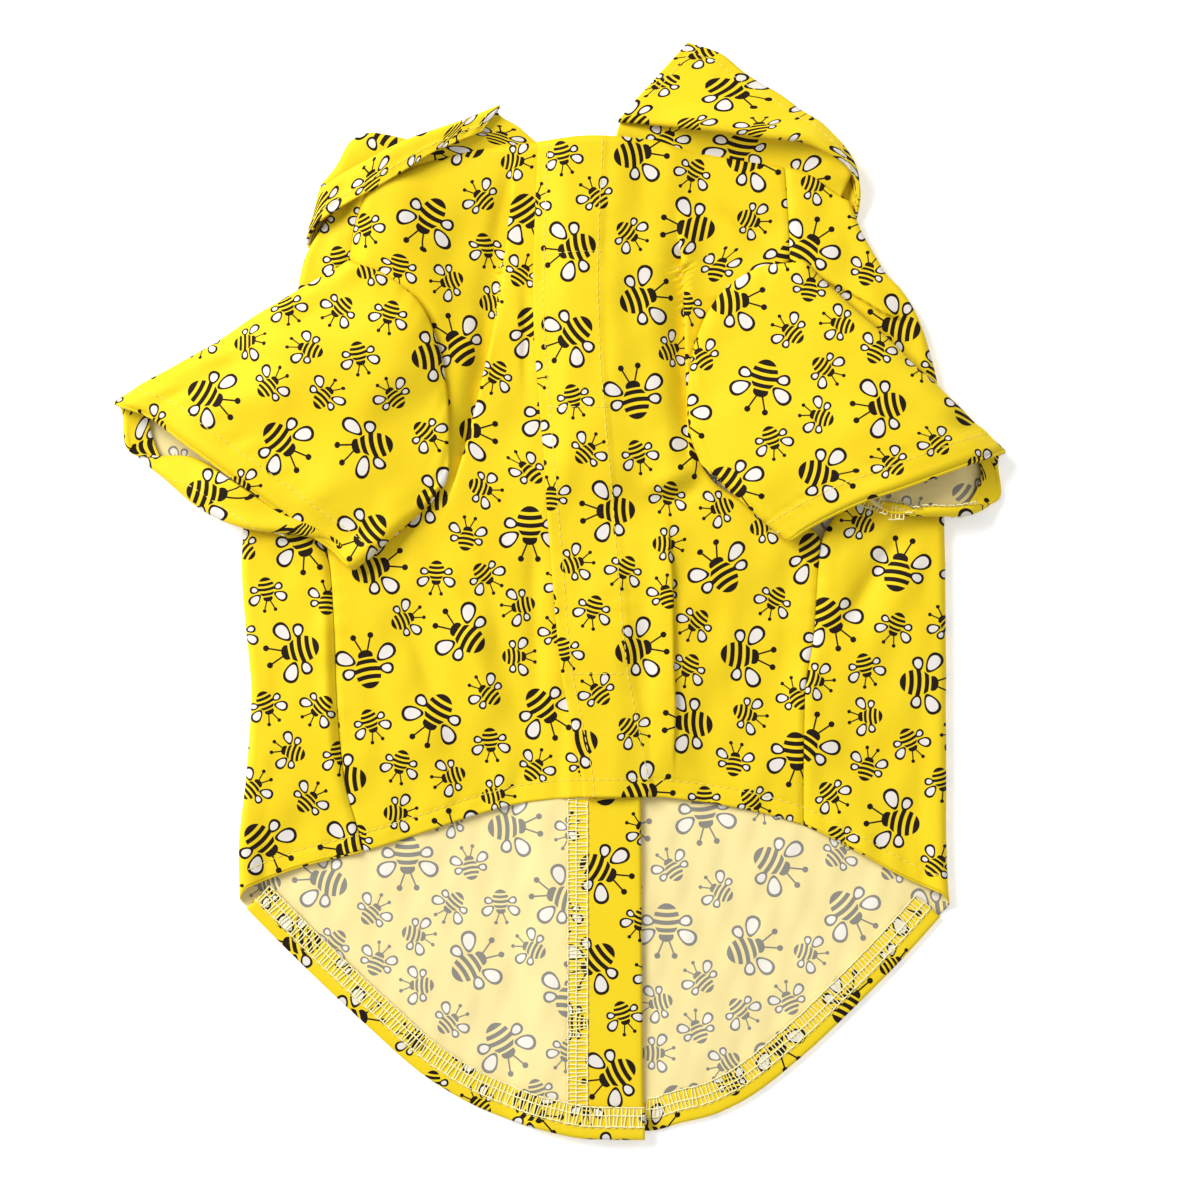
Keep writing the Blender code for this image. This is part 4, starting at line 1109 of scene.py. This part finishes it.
def bee_places(corners, shift):
    """For faces with corners (F, 4, 2) on the flat cloth: each corner's place on the nearest bee, and the
    line's half width there."""
    middle, turn, size = BEES
    tiles = np.array([(i, j) for i in (-1, 0, 1) for j in (-1, 0, 1)]) * REPEAT
    middles = (middle[None] + tiles[:, None]).reshape(-1, 2)
    turns, sizes = np.tile(turn, len(tiles)), np.tile(size, len(tiles))
    centre = corners.mean(axis=1)
    wrapped = (centre + np.array(shift)) % REPEAT
    places = np.zeros(corners.shape[:2] + (3,))
    for first in range(0, len(corners), AT_ONCE):
        part = slice(first, first + AT_ONCE)
        distance = np.linalg.norm(wrapped[part, None] - middles[None], axis=2)
        best = np.argmin(distance - BEE_REACH * sizes[None], axis=1)
        offset = corners[part] - centre[part, None] + (wrapped[part] - middles[best])[:, None]
        c, s, scale = (values[best][:, None] for values in (np.cos(turns), np.sin(turns), sizes))
        places[part, :, 0] = (offset[..., 0] * c + offset[..., 1] * s) / scale
        places[part, :, 1] = (offset[..., 1] * c - offset[..., 0] * s) / scale
        places[part, :, 2] = BEE_LINE / scale ** LINE_POWER
    return places


def new_object(name, mesh):
    """An object with this mesh in the scene."""
    obj = bpy.data.objects.new(name, mesh)
    bpy.context.scene.collection.objects.link(obj)
    return obj


def cloth_object(node, materials):
    """A cloth piece from its grids: two faces a cloth's thickness apart and the cut edge between them."""
    verts, faces, slots, flats, base = [], [], [], [], 0
    way = printed_way(node)
    for grid in cloth_grids(node):
        rows, cols = grid.points.shape[:2]
        count = rows * cols
        out = grid.normals() * way * thickness(node) / 2
        verts += [(grid.points + out).reshape(-1, 3), (grid.points - out).reshape(-1, 3)]
        index = np.arange(count).reshape(rows, cols)
        quads = np.stack([index[:-1, :-1], index[:-1, 1:], index[1:, 1:], index[1:, :-1]], axis=2)
        quads = quads.reshape(-1, 4)
        loop = np.concatenate([index[0, :-1], index[:-1, -1], index[-1, :0:-1], index[:0:-1, 0]])
        after = np.roll(loop, -1)
        rim = np.stack([after, loop, loop + count, after + count], axis=1)
        piece = np.concatenate([quads[:, ::way], quads[:, ::-way] + count, rim[:, ::way]])
        places = grid.flat.reshape(-1, 2)[piece % count]
        if grid.cut is not None:
            after_cut = (piece % count % cols).min(axis=1) >= grid.cut
            places[after_cut] = grid.beyond.reshape(-1, 2)[piece[after_cut] % count]
        flats.append(places)
        faces.append(piece + base)
        slots += [0] * len(quads) + [1] * len(quads) + [0] * len(rim)
        base += 2 * count
    flats = np.concatenate(flats)
    mesh = bpy.data.meshes.new(node + "_cloth")
    mesh.from_pydata((np.concatenate(verts) * MM).tolist(), [], np.concatenate(faces).tolist())
    mesh.uv_layers.new(name="cloth").data.foreach_set("uv", flats.reshape(-1))
    places = mesh.attributes.new("bee", "FLOAT_VECTOR", "CORNER")
    places.data.foreach_set("vector", bee_places(flats, CLOTHS[node].shift).reshape(-1))
    for material in materials:
        mesh.materials.append(material)
    mesh.polygons.foreach_set("material_index", slots)
    mesh.shade_smooth()
    return new_object(mesh.name, mesh)


# --- Node trees ---
class Formula:
    """A value in a node tree that can be reckoned with: sums and products of it add math nodes."""

    def __init__(self, tree, socket):
        self.tree, self.socket = tree, socket

    def do(self, operation, *others):
        return self.tree.out("ShaderNodeMath", self, *others, settings={"operation": operation})

    __add__ = functools.partialmethod(do, "ADD")
    __sub__ = functools.partialmethod(do, "SUBTRACT")
    __mul__ = functools.partialmethod(do, "MULTIPLY")
    __truediv__ = functools.partialmethod(do, "DIVIDE")
    __abs__ = functools.partialmethod(do, "ABSOLUTE")
    below = functools.partialmethod(do, "LESS_THAN")
    above = functools.partialmethod(do, "GREATER_THAN")
    either = functools.partialmethod(do, "MAXIMUM")
    both = functools.partialmethod(do, "MINIMUM")
    root = functools.partialmethod(do, "SQRT")


class Tree:
    """A node tree that is built by calls."""

    def __init__(self, tree):
        self.tree = tree

    def feed(self, slot, value):
        """Link an input to a formula or a socket, or set it to a plain value."""
        value = value.socket if isinstance(value, Formula) else value
        if isinstance(value, bpy.types.NodeSocket):
            self.tree.links.new(value, slot)
        else:
            slot.default_value = value

    def fill(self, node, *given, **named):
        """Feed a node's inputs, in their order or by name with _ for a space."""
        slots = [slot for slot in node.inputs if slot.enabled]
        for slot, value in zip(slots, given):
            self.feed(slot, value)
        for key, value in named.items():
            self.feed(next(slot for slot in slots if slot.name == key.replace("_", " ")), value)

    def node(self, kind, *given, settings=(), **named):
        """The outputs of a new node, by name or number."""
        node = self.tree.nodes.new(kind)
        for key, value in dict(settings).items():
            setattr(node, key, value)
        self.fill(node, *given, **named)
        return node.outputs

    def out(self, kind, *given, **named):
        """The first output of a new node, as a formula."""
        return Formula(self, next(socket for socket in self.node(kind, *given, **named) if socket.enabled))

    def mix(self, share, low, high):
        """A colour between two, each a colour or a formula."""
        low, high = (end if isinstance(end, Formula) else (*end, 1.0) for end in (low, high))
        return self.out("ShaderNodeMix", settings={"data_type": "RGBA"}, Factor=share, A=low, B=high)


def new_group(name, kind, inputs, outputs):
    """An empty node group with these sockets, each (name, type), and its inputs by name."""
    group = bpy.data.node_groups.new(name, kind)
    for way, sockets in (("INPUT", inputs), ("OUTPUT", outputs)):
        for label, socket in sockets:
            group.interface.new_socket(label, in_out=way, socket_type="NodeSocket" + socket)
    tree = Tree(group)
    return tree, {socket.name: Formula(tree, socket) for socket in tree.node("NodeGroupInput") if socket.name}


def new_material(name):
    """A material, its tree and its shader."""
    material = bpy.data.materials.new(name)
    material.use_nodes = True
    return material, Tree(material.node_tree), material.node_tree.nodes["Principled BSDF"]


# --- Materials ---
def oval(x, y, middle, half, turn=0.0, taper=0.0):
    """1 on the edge of an oval, less inside it; with a taper it is wider at its far end."""
    c, s = math.cos(turn), math.sin(turn)
    along = (x - middle[0]) * c + (y - middle[1]) * s
    aside = (y - middle[1]) * c - (x - middle[0]) * s
    if taper:
        aside = aside / (along * (taper / half[0]) + 1.0)
    along, aside = along / half[0], aside / half[1]
    return (along * along + aside * aside).root()


# A bee's drawing in mm, with its head toward +Y and mirrored in X.
# Its wings on one side: middle, half the length and width, turn and how much it widens toward its end
WINGS = (((6.8, 2.5), (3.2, 2.15), 0.55, 0.3), ((6.3, -2.6), (2.0, 1.55), -0.25, 0.22))
FEELER_FROM, FEELER_TO = (0.9, 4.0), (2.8, 8.8)
STRIPES, STRIPE = 2.6, 1.48   # from one stripe to the next, and how much of that is dark


def bee_group():
    """Where a bee's ink and its wings' white are, at a place on a bee of size 1."""
    tree, given = new_group("Bee", "ShaderNodeTree", (("Place", "Vector"),),
                            (("Ink", "Float"), ("Wing", "Float")))
    x, y, line = (Formula(tree, socket) for socket in tree.node("ShaderNodeSeparateXYZ", given["Place"]))
    x = abs(x)
    bowed = y + x * x * 0.03
    body = oval(x, y, (0.0, -3.0), (4.3, 5.4)).below(1.0)
    stripe = (bowed + 10 * STRIPES).do("MODULO", STRIPES).below(STRIPE)
    tail = bowed.below(-6.4)
    bars = stripe.either(tail).both(body).both(bowed.below(1.4))
    head = oval(x, y, (0.0, 2.7), (2.5, 1.8)).below(1.0).both(bowed.above(2.1))
    start, reach = FEELER_FROM, [b - a for a, b in zip(FEELER_FROM, FEELER_TO)]
    along = ((x - start[0]) * reach[0] + (y - start[1]) * reach[1]) / (reach[0] ** 2 + reach[1] ** 2)
    along = along.either(0.0).both(1.0)
    off_x, off_y = x - start[0] - along * reach[0], y - start[1] - along * reach[1]
    feeler = (off_x * off_x + off_y * off_y).root().below(line * 0.85)
    knob = oval(x, y, (2.9, 9.1), (1.0, 1.0)).below(1.0)
    edges = [oval(x, y, *wing) for wing in WINGS]
    ink = bars.either(head).either(feeler).either(knob)
    for edge, (_, half, _, _) in zip(edges, WINGS):
        ink = ink.either(abs(edge - 1.0).below(line / half[1]))
    tree.node("NodeGroupOutput", Ink=ink, Wing=edges[0].below(1.0).either(edges[1].below(1.0)))
    return tree.tree


def printed_cotton(name, ground, ground_deep, ink, wing, rough):
    """Plain-woven cotton with the bees printed on it, for one face of the cloth."""
    if name in bpy.data.materials:
        return bpy.data.materials[name]
    cloth = bpy.context.scene.shirt_cloth
    material, tree, shader = new_material(name)
    place = tree.node("ShaderNodeAttribute", settings={"attribute_name": "bee"})["Vector"]
    group = bpy.data.node_groups.get("Bee") or bee_group()
    bee = tree.node("ShaderNodeGroup", settings={"node_tree": group}, Place=place)
    in_ink, in_wing = (Formula(tree, bee[part]) for part in ("Ink", "Wing"))
    flat = tree.out("ShaderNodeUVMap", settings={"uv_map": "cloth"})
    blotch = tree.out("ShaderNodeTexNoise", Vector=flat, Scale=1 / 26.0, Detail=2.0)
    along_weft = tree.out("ShaderNodeMapping", Vector=flat, Scale=(2.6, 0.12, 1.0))
    slub = tree.out("ShaderNodeTexNoise", Vector=along_weft, Scale=1.0)
    colour = tree.mix(blotch * 0.7 + slub * 0.3, ground, ground_deep)
    colour = tree.mix(in_ink, tree.mix(in_wing, colour, wing), ink)
    turns = 2 * math.pi * MM / cloth.thread_pitch
    u, v, _ = (Formula(tree, socket) for socket in tree.node("ShaderNodeSeparateXYZ", flat))
    weave = (u * turns).do("SINE") * (v * turns).do("SINE") + slub * 0.8
    relief = tree.out("ShaderNodeBump", Strength=0.3, Distance=cloth.weave_depth, Height=weave)
    tree.fill(shader, Base_Color=colour, Normal=relief, Roughness=in_ink * 0.08 + rough,
              Specular_IOR_Level=0.14, Sheen_Weight=0.04, Sheen_Roughness=0.4)
    return material


def right_side():
    """The cotton's printed face."""
    cloth = bpy.context.scene.shirt_cloth
    return printed_cotton("Printed cotton", cloth.ground, cloth.ground_deep, cloth.ink, cloth.wing, 0.62)


def wrong_side():
    """The cotton's wrong side, where the print shows through."""
    cloth = bpy.context.scene.shirt_cloth
    return printed_cotton("Cotton wrong side", cloth.wrong_ground, cloth.wrong_deep, cloth.wrong_ink,
                          cloth.wrong_wing, 0.7)


def thread_material(name, colour):
    """Twisted polyester sewing thread."""
    material, tree, shader = new_material(name)
    ply = tree.out("ShaderNodeTexNoise", Vector=tree.node("ShaderNodeTexCoord")["Object"], Scale=1600.0)
    relief = tree.out("ShaderNodeBump", Strength=0.4, Distance=0.05 * MM, Height=ply)
    tree.fill(shader, Base_Color=tree.mix(ply, [c * 0.88 for c in colour], colour), Normal=relief,
              Roughness=0.45, Sheen_Weight=0.2)
    return material


# --- Sizes and colours that a user would change ---
def colour_property(name, description, default):
    return bpy.props.FloatVectorProperty(name=name, description=description, subtype="COLOR", size=3,
                                         min=0.0, max=1.0, default=default)


def length_property(name, description, default):
    return bpy.props.FloatProperty(name=name, description=description, unit="LENGTH", min=0.0,
                                   default=default, precision=5)


class ShirtCloth(bpy.types.PropertyGroup):
    """The cotton and its print."""
    thickness: length_property("Cloth", "Thickness of one layer of cloth", 0.00042)
    collar_thickness: length_property("Collar", "Thickness of the collar, which is two layers", 0.0009)
    thread_pitch: length_property("Weave", "Distance between neighbouring threads of the weave", 0.00042)
    weave_depth: length_property("Weave depth", "Depth of the weave's relief", 0.00004)
    ground: colour_property("Ground", "Printed yellow of the right side", (0.78, 0.615, 0.019))
    ground_deep: colour_property("Deep ground", "The same yellow where it took more dye", (0.78, 0.52, 0.0015))
    ink: colour_property("Ink", "Dark brown of the print", (0.0125, 0.0055, 0.002))
    wing: colour_property("Wings", "Unprinted white of the bees' wings", (0.71, 0.67, 0.625))
    wrong_ground: colour_property("Wrong side", "Pale yellow of the cloth's wrong side", (0.82, 0.705, 0.345))
    wrong_deep: colour_property("Deep wrong side", "The same where more dye came through", (0.82, 0.675, 0.28))
    wrong_ink: colour_property("Ink showing through", "The print seen from the wrong side", (0.24, 0.228, 0.20))
    wrong_wing: colour_property("Wings showing through", "Wings seen from the wrong side", (0.79, 0.755, 0.665))


class ShirtThread(bpy.types.PropertyGroup):
    """Stitching."""
    colour: colour_property("Thread", "Yellow sewing thread", (0.82, 0.65, 0.09))
    overlock_colour: colour_property("Overlock thread", "Cream thread of the overlocked edges",
                                     (0.93, 0.85, 0.44))
    width: length_property("Thread width", "Width of the sewing thread", 0.00032)
    overlock_width: length_property("Overlock width", "Width of the overlock's bulky thread", 0.0004)
    pitch: length_property("Stitch length", "Distance from one stitch to the next", 0.0022)


class ShirtStage(bpy.types.PropertyGroup):
    """Floor, lights and camera."""
    height: length_property("Camera height", "Height of the camera above the table", 1.2)
    view_width: length_property("View width", "Width of table that the camera sees", 0.336)
    floor: colour_property("Floor", "Pale table top", (0.96, 0.96, 0.96))
    glow: bpy.props.FloatProperty(name="Glow", min=0.0, max=1.0, default=0.3,
                                  description="Light that the table top gives, as a light table does")


def sew(*nodes):
    """Make cloth pieces and hang each on the frame in place of its solid."""
    for node in nodes:
        cloth = CLOTHS[node]
        obj = cloth_object(node, [right_side(), right_side() if cloth.double else wrong_side()])
        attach(obj, "root")
        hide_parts(node)


# --- Thread, laid along lines by geometry nodes ---
STITCH_SHARE = 0.84   # length of a stitch beside the pitch
STITCH_FLAT = 0.62    # height of a stitch beside its width
THREAD_SEED = 7       # of the little turn that each stitch is off by
# The threads across one pitch of overlocking: from (share of the pitch, side) to (share, side), where a side is
# a share of half the band's width, and how high the middle stands beside the thread's width
OVERLOCK_THREADS = (
    (-0.06, -1, 0.05, 1, 0.5),
    (0.38, 1, 0.54, -1, 0.35),
    (-0.35, 1, 0.7, 1, 0.9),
    (-0.42, -1, 0.42, -1, 0.6),
    (-0.42, -0.15, 0.42, -0.15, 0.7),
)


def thread_group(name, *inputs):
    """An empty geometry node group with these further inputs, and its inputs by name."""
    shape = ("Geometry", "Geometry")
    return new_group(name, "GeometryNodeTree", (shape, *inputs, ("Thread", "Material")), (shape,))


def lay_along(tree, given, stitch, jitter):
    """End the group with copies of the stitch all along the incoming line, flat on the cloth, as real mesh."""
    line = tree.out("GeometryNodeMeshToCurve", Mesh=given["Geometry"])
    points = tree.out("GeometryNodeResampleCurve", settings={"mode": "LENGTH"}, Curve=line,
                      Length=given["Pitch"])
    up = tree.out("GeometryNodeInputNamedAttribute", settings={"data_type": "FLOAT_VECTOR"}, Name="out")
    turn = tree.out("FunctionNodeAxesToRotation", up, tree.out("GeometryNodeInputTangent"),
                    settings={"primary_axis": "Z", "secondary_axis": "X"})
    skew = tree.out("FunctionNodeRandomValue", settings={"data_type": "FLOAT"}, Min=-jitter, Max=jitter,
                    Seed=THREAD_SEED)
    turn = tree.out("FunctionNodeRotateRotation", turn, tree.out("ShaderNodeCombineXYZ", 0.0, 0.0, skew),
                    settings={"rotation_space": "LOCAL"})
    copies = tree.out("GeometryNodeInstanceOnPoints", Points=points, Instance=stitch, Rotation=turn)
    real = tree.out("GeometryNodeRealizeInstances", Geometry=copies)
    tree.node("NodeGroupOutput", tree.out("GeometryNodeSetMaterial", Geometry=real, Material=given["Thread"]))
    return tree.tree


def topstitch_group():
    """A row of separate stitches: long grains of thread end to end."""
    tree, given = thread_group("Topstitching", ("Pitch", "Float"), ("Width", "Float"))
    width = given["Width"]
    grain = tree.out("GeometryNodeMeshUVSphere", Segments=8, Rings=5, Radius=0.5)
    size = tree.out("ShaderNodeCombineXYZ", given["Pitch"] * STITCH_SHARE, width, width * STITCH_FLAT)
    return lay_along(tree, given, tree.out("GeometryNodeTransform", Geometry=grain, Scale=size), 0.06)


def overlock_group():
    """An overlocked edge: threads across the band, a chain along its free edge and two rows of stitches."""
    tree, given = thread_group("Overlock", ("Pitch", "Float"), ("Width", "Float"), ("Band", "Float"))
    pitch, width, half = given["Pitch"], given["Width"], given["Band"] * 0.5
    ring = tree.out("GeometryNodeCurvePrimitiveCircle", settings={"mode": "RADIUS"}, Resolution=5,
                    Radius=width * 0.5)
    join = tree.tree.nodes.new("GeometryNodeJoinGeometry")
    for x1, y1, x2, y2, lift in OVERLOCK_THREADS:
        start = tree.out("ShaderNodeCombineXYZ", pitch * x1, half * y1, 0.0)
        end = tree.out("ShaderNodeCombineXYZ", pitch * x2, half * y2, 0.0)
        middle = tree.out("ShaderNodeMix", settings={"data_type": "VECTOR"}, A=start, B=end)
        above = tree.out("ShaderNodeCombineXYZ", 0.0, 0.0, width * lift)
        raised = tree.out("ShaderNodeVectorMath", middle, above)
        arc = tree.out("GeometryNodeCurvePrimitiveBezierSegment", settings={"mode": "POSITION"}, Resolution=4,
                       Start=start, Start_Handle=raised, End_Handle=raised, End=end)
        tree.feed(join.inputs[0], tree.out("GeometryNodeCurveToMesh", Curve=arc, Profile_Curve=ring))
    return lay_along(tree, given, join.outputs[0], 0.09)


def run_thread(name, lines, group, **values):
    """Lay thread along lines on the cloth by the node group, as a plain mesh that rides with the shirt."""
    points, normals = (np.concatenate(parts) for parts in zip(*lines))
    ends = np.cumsum([len(line) for line, _ in lines])
    edges = [(i, i + 1) for i in range(len(points) - 1) if i + 1 not in ends]
    path = bpy.data.meshes.new(name + "_path")
    path.from_pydata((points * MM).tolist(), edges, [])
    path.attributes.new("out", "FLOAT_VECTOR", "POINT").data.foreach_set("vector", normals.reshape(-1))
    guide = new_object(name + "_path", path)
    modifier = guide.modifiers.new("Thread", "NODES")
    modifier.node_group = group
    for item in group.interface.items_tree:
        if item.in_out == "INPUT" and item.name in values:
            modifier[item.identifier] = values[item.name]
    mesh = bpy.data.meshes.new_from_object(guide.evaluated_get(bpy.context.evaluated_depsgraph_get()))
    guide.modifiers.remove(modifier)
    bpy.data.objects.remove(guide)
    if not len(mesh.polygons):
        raise RuntimeError(f"{name}: no stitches were made")
    mesh.shade_smooth()
    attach(new_object(name, mesh), "root")


class ShirtTopstitch(bpy.types.Operator):
    """Run the rows of topstitching along the hems, placket, cuffs and collar."""
    bl_idname = "shirt.topstitch"
    bl_label = "Topstitching"

    def execute(self, context):
        thread = context.scene.shirt_thread
        group, material = topstitch_group(), thread_material("Sewing thread", thread.colour)
        for part, lines in (("belly", belly_lines), ("back", back_lines), ("tail_hem", tail_lines),
                            ("sleeve", cuff_lines), ("collar", collar_lines)):
            for node in (part + "_left", part + "_right"):
                run_thread(node + "_stitches", lines(node), group, Pitch=thread.pitch, Width=thread.width,
                           Thread=material)
        return {"FINISHED"}


class ShirtOverlock(bpy.types.Operator):
    """Overlock the free edges of the tail's hem, the facing and the cuffs' hems."""
    bl_idname = "shirt.overlock"
    bl_label = "Overlocking"

    def execute(self, context):
        thread = context.scene.shirt_thread
        group, material = overlock_group(), thread_material("Overlock thread", thread.overlock_colour)
        for node in ("facing_left", "tail_hem_left", "tail_hem_right", "sleeve_left", "sleeve_right"):
            run_thread(node + "_overlock", overlock_lines(node), group, Pitch=thread.pitch,
                       Width=thread.overlock_width, Band=OVERLOCK_WIDTH * MM, Thread=material)
        return {"FINISHED"}


class ShirtBack(bpy.types.Operator):
    """Lay the two halves of the back on the table, wrapped round the sides, with the turned edges."""
    bl_idname = "shirt.back"
    bl_label = "Back"

    def execute(self, context):
        sew("back_right", "back_left", "facing_left", "tail_hem_left", "tail_hem_right")
        return {"FINISHED"}


class ShirtBelly(bpy.types.Operator):
    """Lay the two belly panels over the back, closed at the placket."""
    bl_idname = "shirt.belly"
    bl_label = "Belly"

    def execute(self, context):
        sew("belly_left", "belly_right")
        return {"FINISHED"}


class ShirtSleeves(bpy.types.Operator):
    """Lay the two sleeves out over the belly, their cuffs gaping."""
    bl_idname = "shirt.sleeves"
    bl_label = "Sleeves"

    def execute(self, context):
        sew("sleeve_left", "sleeve_right")
        return {"FINISHED"}


class ShirtCollar(bpy.types.Operator):
    """Turn the two halves of the collar over round the neck."""
    bl_idname = "shirt.collar"
    bl_label = "Collar"

    def execute(self, context):
        sew("collar_left", "collar_right")
        return {"FINISHED"}


def area_light(name, place, size, power):
    """A soft square light that shines on the middle of the table."""
    data = bpy.data.lights.new(name, "AREA")
    data.shape, data.size, data.energy = "SQUARE", size, power
    light = new_object(name, data)
    light.location = place
    light.rotation_euler = (-Vector(place)).to_track_quat("-Z", "Y").to_euler()


TABLE_HALF = 1.6      # half the side of the table top, in metres
CAMERA_OVER = 0.0102, -0.0028   # place on the table that the camera is straight above, in metres


class ShirtStageUp(bpy.types.Operator):
    """Lay out the pale table top, the soft lights and the camera straight above."""
    bl_idname = "shirt.stage"
    bl_label = "Stage"

    def execute(self, context):
        stage = context.scene.shirt_stage
        mesh = bpy.data.meshes.new("table_top")
        corners = [(x * TABLE_HALF, y * TABLE_HALF, 0) for x, y in ((-1, -1), (1, -1), (1, 1), (-1, 1))]
        mesh.from_pydata(corners, [], [(0, 1, 2, 3)])
        material, tree, shader = new_material("Pale table")
        tree.fill(shader, Base_Color=(*stage.floor, 1.0), Roughness=0.8, Specular_IOR_Level=0.2,
                  Emission_Color=(1.0, 1.0, 1.0, 1.0), Emission_Strength=stage.glow)
        mesh.materials.append(material)
        new_object("table_top", mesh)
        area_light("Window", (-0.95, 0.75, 0.98), 0.8, 30.0)
        area_light("Fill", (0.6, -0.2, 1.5), 1.4, 3.0)
        world = context.scene.world = bpy.data.worlds.new("Studio")
        world.use_nodes = True
        Tree(world.node_tree).fill(world.node_tree.nodes["Background"],
                                   Color=(1.0, 1.0, 1.0, 1.0), Strength=0.5)
        context.scene.view_settings.view_transform = "Standard"
        lens = bpy.data.cameras.new("Camera")
        lens.sensor_width = 36.0
        lens.lens = lens.sensor_width * stage.height / stage.view_width
        context.scene.camera = new_object("Camera", lens)
        context.scene.camera.location = (*CAMERA_OVER, stage.height)
        return {"FINISHED"}


class ShirtPanel(bpy.types.Panel):
    """Lists the pieces of the shirt."""
    bl_idname = "VIEW3D_PT_shirt"
    bl_label = "Dog shirt"
    bl_space_type = "VIEW_3D"
    bl_region_type = "UI"
    bl_category = "Shirt"

    def draw(self, context):
        for piece in PIECES:
            self.layout.operator(piece.bl_idname)
        for group in (context.scene.shirt_cloth, context.scene.shirt_thread, context.scene.shirt_stage):
            box = self.layout.box()
            for prop in group.bl_rna.properties:
                if prop.identifier not in ("rna_type", "name"):
                    box.prop(group, prop.identifier)


PIECES = (ShirtTopstitch, ShirtOverlock, ShirtBack, ShirtBelly, ShirtSleeves, ShirtCollar, ShirtStageUp)
CLASSES = (ShirtCloth, ShirtThread, ShirtStage) + PIECES + (ShirtPanel,)


def register():
    for cls in CLASSES:
        bpy.utils.register_class(cls)
    bpy.types.Scene.shirt_cloth = bpy.props.PointerProperty(type=ShirtCloth)
    bpy.types.Scene.shirt_thread = bpy.props.PointerProperty(type=ShirtThread)
    bpy.types.Scene.shirt_stage = bpy.props.PointerProperty(type=ShirtStage)


def unregister():
    del bpy.types.Scene.shirt_cloth, bpy.types.Scene.shirt_thread, bpy.types.Scene.shirt_stage
    for cls in reversed(CLASSES):
        bpy.utils.unregister_class(cls)


def main():
    """Make every piece in order."""
    register()
    shirt = bpy.ops.shirt
    for make in (shirt.topstitch, shirt.overlock, shirt.back, shirt.belly, shirt.sleeves, shirt.collar,
                 shirt.stage):
        make()


if __name__ == "__main__":
    main()
